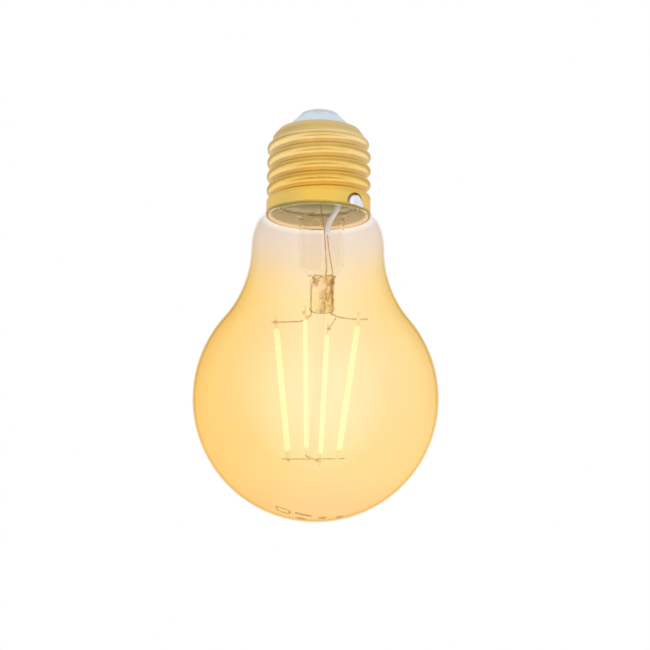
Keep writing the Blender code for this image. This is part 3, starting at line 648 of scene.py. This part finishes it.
def shell_points(angle):
    """One cut through the shell wall, with a rounded rim and a rounded lip."""
    full = SHELL_TOP - RIM
    rows = 150
    half = SHELL_WALL / 2.0
    across = math.cos(angle)
    along = math.sin(angle)
    outer = []
    inner = []
    for row in range(rows + 1):
        height = half + (full - 2.0 * half) * row / rows
        radius = shell_radius(height, angle)
        outer.append((radius, RIM + height))
        inner.append((radius - SHELL_WALL, RIM + min(height, full - SHELL_WALL)))
    top = outer[-1][0]
    bend = arc(top - half, SHELL_TOP - half, half, half, 0.0, 90.0, 4)
    lip = arc(LIP_RADIUS + half, SHELL_TOP - half, half, half, 90.0, 270.0, 6)
    base = outer[0][0]
    foot = arc(base - half, RIM + half, half, half, 180.0, 360.0, 6)
    outline = outer + bend[1:] + lip + inner[::-1] + foot[1:-1]
    return [(r * across, r * along, z) for r, z in outline]


def arch(half_width, foot, top, sidestep=0.0, steps=24):
    """An arch with a flat foot and a round top, as (across, height) points."""
    points = [(sidestep + half_width, foot)]
    rise = min(half_width, top - foot)
    for step in range(steps + 1):
        angle = math.pi * step / steps
        points.append((sidestep + half_width * math.cos(angle), top - rise * (1.0 - math.sin(angle))))
    return points + [(sidestep - half_width, foot)]


def hole_cutter():
    """A hidden arch that opens the soldering hole in the shell."""
    bm = bmesh.new()
    outline = arch(HOLE_HALF_WIDTH, HOLE_FOOT, HOLE_TOP)
    verts = [bm.verts.new((0.0118, y, RIM + z)) for y, z in outline]
    face = bm.faces.new(verts)
    pushed = bmesh.ops.extrude_face_region(bm, geom=[face])
    moved = [item for item in pushed["geom"] if isinstance(item, bmesh.types.BMVert)]
    bmesh.ops.translate(bm, vec=(0.0022, 0.0, 0.0), verts=moved)
    bmesh.ops.rotate(bm, verts=bm.verts, cent=(0, 0, 0), matrix=Matrix.Rotation(HOLE_ANGLE, 3, "Z"))
    return finish_mesh("hole_cutter", bm, [])


def screw_shell(metal):
    bm = bmesh.new()
    sweep(bm, shell_points, 192)
    shell = finish_mesh("threaded_shell", bm, [metal])
    cutter = hole_cutter()
    boolean = shell.modifiers.new("hole", "BOOLEAN")
    boolean.operation = "DIFFERENCE"
    boolean.object = cutter
    apply_modifiers(shell)
    bpy.data.objects.remove(cutter)
    finished(shell, "brass", "screw_shell")


def apply_modifiers(made):
    """Replaces a piece's mesh by what its modifiers make of it."""
    graph = bpy.context.evaluated_depsgraph_get()
    mesh = bpy.data.meshes.new_from_object(made.evaluated_get(graph))
    made.modifiers.clear()
    made.data = mesh
    mesh.shade_smooth()
    mesh.set_sharp_from_angle(angle=math.radians(SHARP))


def insulator_cone(material):
    low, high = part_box("insulator")
    bore = 0.0018
    skirt = 0.0094
    neck = LIP_RADIUS - 0.0002
    edge = 0.0008
    slope = ((neck, 0.0219), (neck, 0.0224), (0.0084, 0.0228), (0.0080, 0.0232), (0.0074, 0.0239))
    outline = [(bore, low.z), (skirt, low.z), (skirt, RIM + 0.0213)]
    outline += [(radius, RIM + height) for radius, height in slope + ((0.0068, 0.0246),)]
    outline += arc(0.0054, high.z - edge, 0.0006, edge, 20.0, 90.0, 5)
    bm = bmesh.new()
    turned(bm, outline + [(bore, high.z)], 96)
    piece("insulator_cone", bm, [material], "insulator", "insulator")


def contact_plate(material):
    low, high = contact_low, contact_high
    stem = 0.0016
    round_edge = 0.0009
    foot_edge = 0.00015
    plate_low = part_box("insulator")[1].z + 0.0001
    outline = [(0.0, low.z), (stem, low.z), (stem, plate_low)]
    outline += arc(high.x - foot_edge, plate_low + 0.0001, foot_edge, 0.0001, -90.0, 0.0, 3)
    outline += arc(high.x - round_edge, high.z - round_edge, round_edge, round_edge, 4.0, 90.0, 8)
    bm = bmesh.new()
    turned(bm, outline + [(0.0, high.z)], 96)
    piece("contact_plate", bm, [material], "contact", "centre_contact")


def plug_in_hole(name, outline, steps, material):
    """Adds a plug that fills an arch in the hole; steps are (shrink, distance from the axis)."""
    across_middle = (outline[0][0] + outline[-1][0]) / 2.0
    middle = 0.0020
    slump = 1.4
    lump_height = 0.00022
    bm = bmesh.new()
    rings = []
    for scale, depth in steps:
        ring = []
        sag = slump * max(depth - THREAD_MAJOR, 0.0)
        for y, z in outline:
            across = across_middle + (y - across_middle) * scale
            level = middle + (z - middle) * scale - sag
            lump = noise.noise(Vector((depth, across, level)) * 900.0)
            bulge = lump_height * lump if scale < 1.0 else 0.0
            ring.append(bm.verts.new((depth + bulge, across, RIM + level)))
        rings.append(ring)
    bm.faces.new(rings[0])
    bm.faces.new(rings[-1])
    bridge(bm, rings)
    bmesh.ops.rotate(bm, verts=bm.verts, cent=(0, 0, 0), matrix=Matrix.Rotation(HOLE_ANGLE, 3, "Z"))
    return finish_mesh(name, bm, [material], SOLDER_SHARP)


def solder_drop(material, flux_material):
    """Solder that bulges out of the hole, and the brown flux behind it that fills the hole's edge."""
    skin = THREAD_MAJOR - 0.00045
    bulge = 0.00075
    steps = [(1.0, skin - 0.0005), (1.0, skin)]
    for step in range(1, 9):
        angle = step * math.pi / 18.0
        steps.append((math.cos(angle), skin + bulge * math.sin(angle)))
    drop = plug_in_hole("solder_drop", arch(0.0024, 0.0005, 0.0034, 0.0004), steps, material)
    finished(drop, "solder", "side_solder")
    edge = arch(HOLE_HALF_WIDTH + 0.0006, HOLE_FOOT + 0.0001, HOLE_TOP + 0.0008)
    layers = [(1.0, skin - 0.0004), (1.0, skin - 0.00015)]
    finished(plug_in_hole("flux_residue", edge, layers, flux_material), "solder")


def cement_ring(material):
    """Cement round the collar; a thin wash of it climbs the inside of the shell."""
    inner = COLLAR_RADIUS + 0.0001
    outer = THREAD_MAJOR - SHELL_WALL - 0.0001
    opening = math.radians(30.0)
    wash_top = 0.0078
    smooth_wall = THREAD_MAJOR - THREAD_DEPTH - SHELL_WALL

    def section(angle):
        ragged = 0.0003 * noise.noise(Vector((math.cos(angle), math.sin(angle), 0.3)) * 6.0)
        points = [(inner, 0.0006), (inner + 0.0004, 0.0002), (outer, 0.0001)]
        points.append((outer, THREAD_START - 0.0001))
        inside = []
        for step in range(9):
            height = THREAD_START + (wash_top + ragged - THREAD_START) * step / 8
            wall = shell_radius(height, angle) - SHELL_WALL
            points.append((wall - 0.00005, height))
            level = fade(height, THREAD_START, THREAD_START + 0.0015)
            inside.append((outer + (smooth_wall - outer) * level - 0.0002, height))
        points += inside[::-1] + [(outer - 0.0003, THREAD_START), (inner, 0.0034 + ragged)]
        return points

    bm = bmesh.new()
    count = 120
    columns = []
    for index in range(count + 1):
        angle = HOLE_ANGLE + opening / 2.0 + (2.0 * math.pi - opening) * index / count
        cut = [(r * math.cos(angle), r * math.sin(angle), RIM + z) for r, z in section(angle)]
        columns.append([bm.verts.new(point) for point in cut])
    bridge(bm, columns)
    bm.faces.new(columns[0])
    bm.faces.new(columns[-1])
    piece("cement_ring", bm, [material], "cement", "capping_cement")


# Glass


def envelope_outline(inset, steps):
    """Half the glass outline from the bottom up, inset by a wall thickness."""
    arc_r = NECK_RADIUS + GLOBE_TO_NECK_RADIUS
    arc_up = math.sqrt((GLOBE_RADIUS + GLOBE_TO_NECK_RADIUS) ** 2 - arc_r**2)
    meet = math.degrees(math.atan2(arc_up, arc_r))
    globe = arc(0.0, GLOBE, GLOBE_RADIUS - inset, GLOBE_RADIUS - inset, -90.0, meet, 3 * steps)
    hollow = GLOBE_TO_NECK_RADIUS + inset
    bend = arc(arc_r, GLOBE + arc_up, hollow, hollow, 180.0 + meet, 180.0, steps)
    shoulder_top = RIM - RIM_GAP - inset
    turn = NECK_RADIUS - RIM_GLASS_RADIUS
    rise = shoulder_top - GLOBE - arc_up
    shoulder = arc(RIM_GLASS_RADIUS - inset, GLOBE + arc_up, turn, rise, 0.0, 90.0, steps)
    globe[0] = (0.0, globe[0][1])
    return globe + bend[1:] + shoulder[1:]


def envelope(material):
    outer = envelope_outline(0.0, 36)
    inner = envelope_outline(GLASS, 36)
    half = GLASS / 2.0
    bore = COLLAR_RADIUS - GLASS
    collar = arc(RIM_GLASS_RADIUS - 0.0002, RIM + 0.0009, 0.0011, 0.0010, 270.0, 180.0, 5)[1:]
    mouth = arc(COLLAR_RADIUS - half, COLLAR_TOP - half, half, half, 0.0, 180.0, 6)
    mouth += [(bore, RIM + 0.0006), (bore + 0.0002, RIM - 0.0002)]
    bm = bmesh.new()
    turned(bm, outer + collar + mouth + inner[::-1], 288)
    lets_light_in(piece("blown_envelope", bm, [material], "amber_glass", "glass_envelope"))


def stem_ring(z):
    """Centre, half width and half depth of the stem at a level, down to the pinch."""
    flare = fade(z, RIM - 0.0004, RIM + 0.0028)
    pinch = 1.0 - fade(z, PINCH_FULL, STEM_ROUND)
    centre = STEM_X * (1.0 - flare) + (PINCH_X - STEM_X) * pinch
    round_radius = STEM_RADIUS + flare * STEM_FLARE
    width = round_radius + (PINCH_HALF_WIDTH - round_radius) * pinch
    depth = round_radius + (PINCH_HALF_DEPTH - round_radius) * pinch
    return centre, width, depth


def stem_tube(material):
    """The flared tube of the stem, round at its lower end on the inside."""
    top = RIM + 0.0034
    bore = STEM_RADIUS - STEM_WALL
    dome = 0.0020
    dome_squash = 0.25

    def wall_points(angle):
        across = math.cos(angle)
        along = math.sin(angle)
        outside = []
        inside = []
        for step in range(41):
            z = top + (PINCH_SPLIT - top) * step / 40
            centre, width, depth = stem_ring(z)
            outside.append((centre + width * across, depth * along, z))
            if z > STEM_ROUND:
                wide = (width - STEM_WALL) * across
                inside.append((centre + wide, (depth - STEM_WALL) * along, z))
        for step in range(1, 9):
            share = step / 8
            reach = bore * math.cos(math.pi / 2.0 * share)
            level = STEM_ROUND - dome * math.sin(math.pi / 2.0 * share)
            squash = 1.0 - dome_squash * share
            inside.append((STEM_X + reach * across, reach * squash * along, level))
        outside.append((PINCH_X, 0.0, PINCH_SPLIT - 0.0002))
        return inside[::-1] + outside

    bm = bmesh.new()
    sweep(bm, wall_points, 96, ring=False)
    lets_light_in(piece("stem_tube", bm, [material], "clear_glass", "stem_glass"))


def stem_pinch(material):
    """The wavy pinch under the stem's tube, narrower at its waist."""
    top = PINCH_SPLIT - 0.0003
    steps = 44
    end_share = 0.12
    ripple_depth = 0.10
    waist_depth = 0.07

    def pinch_points(angle):
        across = math.cos(angle)
        along = math.sin(angle)
        points = [(PINCH_X, 0.0, PINCH_BOTTOM)]
        for step in range(1, steps + 1):
            share = step / steps
            z = PINCH_BOTTOM + (top - PINCH_BOTTOM) * share
            round_end = math.sqrt(max(1.0 - max(1.0 - share / end_share, 0.0) ** 2, 0.0))
            width, depth = stem_ring(max(z, PINCH_FULL))[1:]
            place = Vector((across * 2.0, along * 2.0, z * 900.0))
            ripple = 1.0 + ripple_depth * noise.noise(place)
            reach = round_end * ripple * (1.0 - waist_depth * math.sin(math.pi * share))
            points.append((PINCH_X + width * across * reach, depth * along * reach, z))
        points.append((PINCH_X, 0.0, top))
        return points

    bm = bmesh.new()
    sweep(bm, pinch_points, 72, ring=False)
    lets_light_in(piece("stem_pinch", bm, [material], "clear_glass"))


def rod_and_bead(material):
    """The clear rod, drawn thin out of the pinch, and the bead that holds the support wires."""
    rod = 0.00095
    root = 0.0004
    bead = 0.8 * ((bead_high.x - bead_low.x) / 2.0 - rod)
    top = Vector((PINCH_X - 0.0002, 0.0, PINCH_BOTTOM - 0.0001))

    def width(share):
        return rod + bead * fade(share, 0.955, 1.0) + root * (1.0 - fade(share, 0.0, 0.04))

    bm = bmesh.new()
    tube(bm, [top.lerp(BEAD, step / 60) for step in range(61)], width, 24)
    lets_light_in(piece("support_rod_and_bead", bm, [material], "clear_glass", "support_rod", "rod_bead"))


def exhaust(material):
    """The tube that the air was pumped out through, drawn off and melted shut at its tip."""
    low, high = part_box("exhaust_tube")
    centre = (low + high) / 2.0
    outer = (high.x - low.x) / 2.0
    tip = 0.0022
    edge = 0.0004
    outline = [(0.0, low.z)] + arc(outer - edge, low.z + edge, edge, edge, 270.0, 360.0, 5)
    outline += arc(0.0, high.z - tip, outer, tip, 0.0, 90.0, 10)[:-1] + [(0.0, high.z)]
    bm = bmesh.new()
    turned(bm, outline, 48, centre.x, centre.y)
    lets_light_in(piece("exhaust_glass", bm, [material], "clear_glass", "exhaust_tube"))


# Filaments and wires


def node_ends(node):
    """The middle of a slanted strip's lowest corners, and of its highest."""
    corners = {tuple(vert.co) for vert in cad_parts[node].data.vertices}
    by_height = [Vector(corner) for corner in sorted(corners, key=lambda corner: corner[2])]
    half = len(by_height) // 2
    return sum(by_height[:half], Vector()) / half, sum(by_height[-half:], Vector()) / half


def directions(low, high):
    """The way a slanted strip leans outward, and the flat way across it."""
    outward = Vector((high.x - low.x, high.y - low.y, 0.0)).normalized()
    return outward, Vector((-outward.y, outward.x, 0.0))


def strip(bm, start, end, sideways, width, depth, corner, rows):
    """Adds a rounded strip: a rounded rectangle carried from start to end, domed at the ends."""
    up = (end - start).normalized()
    out = sideways.cross(up)
    section = []
    for quarter in range(4):
        for step in range(5):
            angle = math.pi / 2.0 * (quarter + step / 4.0)
            sign_x = 1.0 if quarter in (0, 3) else -1.0
            sign_y = 1.0 if quarter in (0, 1) else -1.0
            x = sign_x * (width / 2.0 - corner) + corner * math.cos(angle)
            y = sign_y * (depth / 2.0 - corner) + corner * math.sin(angle)
            section.append((x, y))
    loops = []
    length = (end - start).length
    for row in range(rows + 1):
        share = row / rows
        near_end = min(share, 1.0 - share) * length / (corner * 1.2)
        shrink = 1.0 if near_end >= 1.0 else 1.0 - 0.35 * (1.0 - near_end) ** 2
        place = start.lerp(end, share)
        loops.append([bm.verts.new(place + (out * x + sideways * y) * shrink) for x, y in section])
    bridge(bm, loops)
    bm.faces.new(loops[0])
    bm.faces.new(loops[-1])


def filaments(glow, tab_metal, support_metal, weld_metal):
    """Each filament with its two tabs, and its support wire out of the bead."""
    for name in FILAMENTS:
        low, high = node_ends(f"filament_{name}")
        outward, sideways = directions(low, high)
        bm = bmesh.new()
        strip(bm, low, high, sideways, FILAMENT_WIDTH, FILAMENT_DEPTH, 0.00042, 60)
        piece(f"lit_filament_{name}", bm, [glow], "phosphor", f"filament_{name}")
        for end in ("upper", "lower"):
            start, stop = node_ends(f"{end}_tab_{name}")
            bm = bmesh.new()
            strip(bm, start, stop, sideways, TAB_WIDTH, 2.0 * TAB_HALF_DEPTH, 0.00008, 12)
            piece(f"{end}_end_tab_{name}", bm, [tab_metal], "nickel_tab", f"{end}_tab_{name}")
        low_tab, high_tab = node_ends(f"lower_tab_{name}")
        share = (BEAD.z - low_tab.z) / (high_tab.z - low_tab.z)
        weld = low_tab.lerp(high_tab, share) + sideways * (TAB_HALF_DEPTH + SUPPORT_RADIUS)
        tip = weld + outward * 0.0015 + Vector((0.0, 0.0, 0.0001))
        knots = [BEAD + (weld - BEAD) * 0.12, BEAD.lerp(weld, 0.6), weld, tip]
        bm = bmesh.new()
        tube(bm, smooth_route(knots), SUPPORT_RADIUS)
        blob(bm, weld - sideways * TAB_HALF_DEPTH, (0.00038, 0.00038, 0.00030), 1)
        made = finish_mesh(f"support_wire_and_weld_{name}", bm, [support_metal, weld_metal], WELD_SHARP)
        finished(made, "molybdenum_wire", f"support_wire_{name}")


def upper_weld(name, side):
    """Where a lead wire passes the upper tab of a filament, and the way outward there."""
    low, high = node_ends(f"upper_tab_{name}")
    outward, sideways = directions(low, high)
    place = low.lerp(high, (UPPER_WELD_LEVEL - low.z) / (high.z - low.z))
    return place + sideways * (TAB_HALF_DEPTH + LEAD_RADIUS) * side, outward


def above(level, *points):
    """Points given as (x, y, height above a level)."""
    return [Vector((x, y, level + height)) for x, y, height in points]


def lead_wires(dumet, nickel, weld_metal):
    """The wires from the pinch to the upper tabs, each with its weld, and the tops of the leads."""
    splice = above(GLOBE, (0.0020, 0.0, 0.0369))
    in_pinch = above(PINCH_TOP, (0.0022, 0.0, 0.0014), (0.0012, 0.0, 0.0001), (-0.0004, 0.0, -0.0008))
    in_pinch += above(PINCH_TOP, (-0.0013, 0.0, -0.0023), (-0.0014, 0.0, -0.0055))
    in_pinch += above(PINCH_BOTTOM, (-0.0014, 0.0, 0.0002))
    left = above(GLOBE, (-0.0017, 0.0, 0.0206), (-0.0029, 0.0005, 0.0198), (-0.0045, 0.0012, 0.0194))
    right_top = above(PINCH_TOP, (0.0037, 0.0, 0.0016))
    right_exit = above(PINCH_BOTTOM, (0.0036, 0.0, 0.0004))
    right = right_top + [right_top[0].lerp(right_exit[0], 0.5)] + right_exit
    right += above(GLOBE, (0.0038, 0.0, 0.0212), (0.0050, -0.0006, 0.0204), (0.0070, -0.0016, 0.0198))
    near = above(GLOBE, (-0.0019, -0.0004, 0.0204), (-0.0024, -0.0030, 0.0199))
    far = above(GLOBE, (0.0046, 0.0002, 0.0200), (0.0041, 0.0035, 0.0197))
    wires = (
        ("left_lead", dumet, splice + in_pinch + left, upper_weld("left", 1), 0.0009),
        ("right_lead", dumet, right, upper_weld("right", 1), 0.0021),
        ("near_branch", nickel, near, upper_weld("near", -1), 0.0012),
        ("far_branch", nickel, far, upper_weld("far", -1), 0.0010),
    )
    for name, metal, knots, (weld, outward), end in wires:
        bm = bmesh.new()
        tube(bm, smooth_route(knots + [weld, weld + outward * end]), LEAD_RADIUS)
        blob(bm, weld, (0.00042, 0.00042, 0.00034), 1)
        slot_name = "dumet_wire" if metal is dumet else "nickel_wire"
        finished(finish_mesh(name, bm, [metal, weld_metal], WELD_SHARP), slot_name, f"{name}_wire")
    return splice, right_top


def output_leads(splice, right_top, copper, white):
    """The thin wires from the stem up into the cap, one of them in a sleeve."""
    plain = splice + above(GLOBE, (0.0015, 0.0, 0.0430), (0.0006, -0.0005, 0.0484))
    plain += above(RIM, (0.0003, -0.0010, 0.0070))
    covered = right_top + above(GLOBE, (0.0028, 0.0, 0.0374), (0.0024, 0.0, 0.0420))
    covered += above(GLOBE, (0.0030, -0.0003, 0.0450), (0.0048, -0.0010, 0.0482))
    covered += above(RIM, (0.0054, -0.0012, 0.0070))
    ends = (("plain", plain, "negative"), ("covered", covered, "positive"))
    for name, knots, pole in ends:
        bm = bmesh.new()
        tube(bm, smooth_route(knots), OUTPUT_LEAD_RADIUS)
        piece(f"{name}_output_lead", bm, [copper], "copper_wire", f"{pole}_output_lead")
    bm = bmesh.new()
    inside = [place for place in smooth_route(covered) if sleeve_low.z < place.z < sleeve_high.z]
    tube(bm, inside, SLEEVE_RADIUS, 20)
    piece("white_sleeve", bm, [white], "sleeve", "insulating_sleeve")


# Crown stamp


def on_crown(x, y):
    """A point on the outside of the glass under the globe, just inside the CAD's box."""
    radius = GLOBE_RADIUS - 0.00001
    return Vector((x, y, GLOBE - math.sqrt(radius**2 - x * x - y * y)))


def stamp_stroke(bm, points, width, closed=False):
    """Adds one stroke of ink that lies on the glass, along flat (x, y) points."""
    count = len(points)
    thick = Vector((0.0, 0.0, 0.00003))
    loops = []
    for index, (x, y) in enumerate(points):
        after = points[(index + 1) % count] if closed else points[min(index + 1, count - 1)]
        before = points[index - 1] if closed else points[max(index - 1, 0)]
        ahead = Vector((after[0] - before[0], after[1] - before[1])).normalized()
        side = Vector((-ahead.y, ahead.x)) * width / 2.0
        pair = [on_crown(x - side.x, y - side.y), on_crown(x + side.x, y + side.y)]
        corners = pair + [place + thick for place in pair[::-1]]
        loops.append([bm.verts.new(place) for place in corners])
    if not closed:
        bm.faces.new(loops[0])
        bm.faces.new(loops[-1])
    bridge(bm, loops + loops[:1] if closed else loops)


def rounded(corners, steps=5):
    """A closed outline through four corners, cut round at each of them."""
    points = []
    count = len(corners)
    cut = 0.3
    for index, corner in enumerate(corners):
        corner = Vector(corner)
        start = corner.lerp(Vector(corners[index - 1]), cut)
        end = corner.lerp(Vector(corners[(index + 1) % count]), cut)
        for step in range(steps + 1):
            t = step / steps
            points.append(start.lerp(corner, t).lerp(corner.lerp(end, t), t))
    return points


def crown_stamp(material):
    """A plain mark of an outline, dashes and dots, with no letters."""
    frame_mark = [(-0.0090, -0.0100), (-0.0056, -0.0094), (-0.0058, -0.0071), (-0.0085, -0.0074)]
    long_dash = [(-0.0044 + 0.0005 * step, -0.0088 + 0.00016 * step) for step in range(9)]
    short_dash = [(-0.0040 + 0.0004 * step, -0.0052 + 0.00018 * step) for step in range(6)]
    dots = (((0.0012, -0.0063), (0.0028, -0.0056)), ((0.0053, -0.0051), (0.0069, -0.0047)))
    bm = bmesh.new()
    stamp_stroke(bm, rounded(frame_mark), 0.00048, closed=True)
    stamp_stroke(bm, long_dash, 0.0010)
    stamp_stroke(bm, short_dash, 0.0014)
    for start, end in dots:
        steps = [Vector(start).lerp(Vector(end), step / 6.0) for step in range(7)]
        stamp_stroke(bm, steps, 0.0018)
    piece("crown_stamp", bm, [material], "amber_glass")


# Driver


def paint(node, finish):
    """Gives a CAD node that stays its finished material."""
    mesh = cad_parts[node].data
    mesh.materials.clear()
    mesh.materials.append(finish.material)
    for polygon in mesh.polygons:
        polygon.material_index = 0


def driver_finishes(copper):
    board = circuit_board()
    epoxy = speckled("black_epoxy", (0.015, 0.015, 0.016), (0.04, 0.04, 0.042), 0.5, 1500.0)
    tan = speckled("chip_ceramic", (0.48, 0.34, 0.19), (0.66, 0.50, 0.31), 0.45, 1300.0)
    ferrite = speckled("ferrite", (0.04, 0.04, 0.04), (0.10, 0.10, 0.11), 0.6, 900.0)
    tin = speckled("tinned_steel", (0.52, 0.53, 0.54), (0.70, 0.71, 0.72), 0.3, 500.0, 1.0, 0.1)
    low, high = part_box("bulk_capacitor")
    can = [(0.0, (0.03, 0.04, 0.09)), (0.06, (0.05, 0.06, 0.12)), (0.62, (0.55, 0.57, 0.62))]
    can += [(0.68, (0.05, 0.06, 0.12)), (0.95, (0.60, 0.60, 0.62))]
    film = banded("capacitor_film", low.z, high.z, can, 0.35)
    low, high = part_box("fusible_resistor")
    body = (0.22, 0.36, 0.33)
    bands = [(0.0, body), (0.22, (0.35, 0.12, 0.05)), (0.32, body), (0.42, (0.02, 0.02, 0.02))]
    bands += [(0.52, body), (0.62, (0.60, 0.45, 0.15)), (0.72, body)]
    resistor = banded("resistor_body", low.z, high.z, bands, 0.45)
    plain = (
        (board, ("driver_board", "wireless_board")),
        (epoxy, ("bridge_rectifier", "led_driver_chip", "voltage_regulator", "pin_header")),
        (epoxy, ("chip_resistor_1", "chip_resistor_2")),
        (tan, ("chip_capacitor_1", "chip_capacitor_2", "antenna")),
        (ferrite, ("choke_core",)),
        (tin, ("shield_can", "crystal")),
        (film, ("bulk_capacitor",)),
        (resistor, ("fusible_resistor",)),
        (copper, ("choke_winding", "live_input_lead", "neutral_input_lead")),
    )
    for finish, nodes in plain:
        for node in nodes:
            paint(node, finish)


# Stage


def camera():
    """Stands a little below the bulb and looks up at it."""
    tilt = math.radians(10.8)
    roll = math.radians(0.75)
    data = bpy.data.cameras.new("camera")
    data.lens = 78.76
    data.sensor_width = 36.0
    made = bpy.data.objects.new("camera", data)
    bpy.context.scene.collection.objects.link(made)
    forward = Vector((0.0, math.cos(tilt), math.sin(tilt)))
    up = Vector((0.0, -math.sin(tilt), math.cos(tilt)))
    right = Vector((1.0, 0.0, 0.0))
    leaned_right = right * math.cos(roll) + up * math.sin(roll)
    leaned_up = up * math.cos(roll) - right * math.sin(roll)
    turn = Matrix((leaned_right, leaned_up, -forward)).transposed().to_4x4()
    place = Vector((0.00205, -0.3458, GLOBE - 0.0476))
    made.matrix_world = Matrix.Translation(place) @ turn
    bpy.context.scene.camera = made


def floor():
    bpy.ops.mesh.primitive_circle_add(vertices=96, radius=0.9, fill_type="NGON")
    made = bpy.context.object
    made.name = "floor"
    made.location.z = BOTTOM - 0.10
    pale = Finish("pale_floor", (0.86, 0.86, 0.86), 0.7)
    pale.tones(pale.noise(60.0, 3.0), 0.3, (0.85, 0.85, 0.85), 0.7, (0.87, 0.87, 0.87))
    pale.feed((1.0, 0.97, 0.92), "Emission Color")
    pale.feed(0.25, "Emission Strength")
    made.data.materials.append(pale.material)
    made.visible_transmission = False


def area_light(name, place, size, power):
    """A soft square light that faces the bulb's middle."""
    data = bpy.data.lights.new(name, "AREA")
    data.energy = power
    data.size = size
    made = bpy.data.objects.new(name, data)
    bpy.context.scene.collection.objects.link(made)
    place = Vector(place)
    aim = Vector((0.0, 0.0, (BOTTOM + contact_high.z) / 2.0)) - place
    made.location = place
    made.rotation_euler = aim.to_track_quat("-Z", "Y").to_euler()
    made.visible_glossy = False
    made.visible_transmission = False


class Studio(Nodes):
    """The surroundings, as nodes of the world."""

    def along(self, axis, stops):
        """A colour that changes along one axis of the direction of view, from -1 to 1."""
        direction = self.span(self.axis(axis), -1.0, 1.0)
        return self.ramp(direction, [((place + 1.0) / 2.0, colour) for place, colour in stops])

    def background(self, strength, colour=(1.0, 1.0, 1.0)):
        made = self.node("ShaderNodeBackground")
        return self.join(made, Color=colour, Strength=strength).outputs[0]

    def mixed(self, *values):
        """One background or another, by a factor."""
        made = self.node("ShaderNodeMixShader")
        for index, value in enumerate(values):
            self.put(value, made.inputs[index])
        return made.outputs[0]


def lights():
    """A white studio: plain white behind, and soft bands of light that the metal mirrors."""
    world = bpy.data.worlds.new("studio")
    bpy.context.scene.world = world
    world.use_nodes = True
    world.node_tree.nodes.clear()
    studio = Studio(world.node_tree, "Generated")
    white = (1.0, 1.0, 1.0)
    low_bands = [(-0.60, (0.98, 0.98, 0.96)), (-0.10, (0.95, 0.94, 0.90)), (0.15, (0.93, 0.91, 0.84))]
    high_bands = [(0.55, (0.93, 0.90, 0.80)), (0.80, (0.97, 0.97, 0.96)), (1.00, (0.98, 1.02, 1.10))]
    bands = studio.along("Z", low_bands + high_bands)
    depth = studio.along("Y", [(0.5, white), (0.95, (0.86, 0.75, 0.52))])
    cool = [(-1.0, (0.80, 0.86, 1.20)), (-0.3, white), (0.4, white), (1.0, (0.88, 0.93, 1.25))]
    colour = studio.multiply(studio.multiply(bands, depth), studio.along("X", cool))
    path = studio.node("ShaderNodeLightPath").outputs
    mirrored = studio.background(1.0, colour)
    through = studio.mixed(path["Is Transmission Ray"], mirrored, studio.background(1.08))
    seen = studio.mixed(path["Is Camera Ray"], through, studio.background(1.0))
    studio.put(seen, studio.node("ShaderNodeOutputWorld").inputs["Surface"])
    area_light("front_light", (0.25, -0.8, 0.35), 0.5, 1.5)
    area_light("side_light", (-0.8, -0.2, 0.2), 0.5, 0.6)
    bpy.context.scene.view_settings.view_transform = "Standard"


# The bulb

camera()
floor()
lights()

copper = drawn_wire("copper_wire", (0.52, 0.32, 0.18), (0.76, 0.52, 0.32))
dumet = drawn_wire("dumet_wire", (0.56, 0.42, 0.26), (0.82, 0.66, 0.44), 0.5)
nickel = drawn_wire("nickel_wire", (0.64, 0.50, 0.33), (0.84, 0.71, 0.51), 0.5)
molybdenum = drawn_wire("molybdenum_wire", (0.58, 0.44, 0.27), (0.80, 0.64, 0.43), 0.5)
weld_metal = drawn_wire("weld_metal", (0.52, 0.38, 0.24), (0.77, 0.61, 0.41), 0.5)
tab_metal = drawn_wire("nickel_tab", (0.82, 0.74, 0.54), (0.95, 0.88, 0.70), 0.5)

screw_shell(brass())
insulator_cone(insulator())
contact_plate(contact())
solder_drop(solder(), flux())
cement_ring(cement())
envelope(amber_glass())
stem_glass = clear_glass()
stem_tube(stem_glass)
stem_pinch(pinch_glass())
rod_and_bead(stem_glass)
exhaust(thin_glass())
filaments(phosphor(), tab_metal, molybdenum, weld_metal)
splice_place, right_place = lead_wires(dumet, nickel, weld_metal)
output_leads(splice_place, right_place, copper, sleeve())
crown_stamp(ink())
driver_finishes(copper)
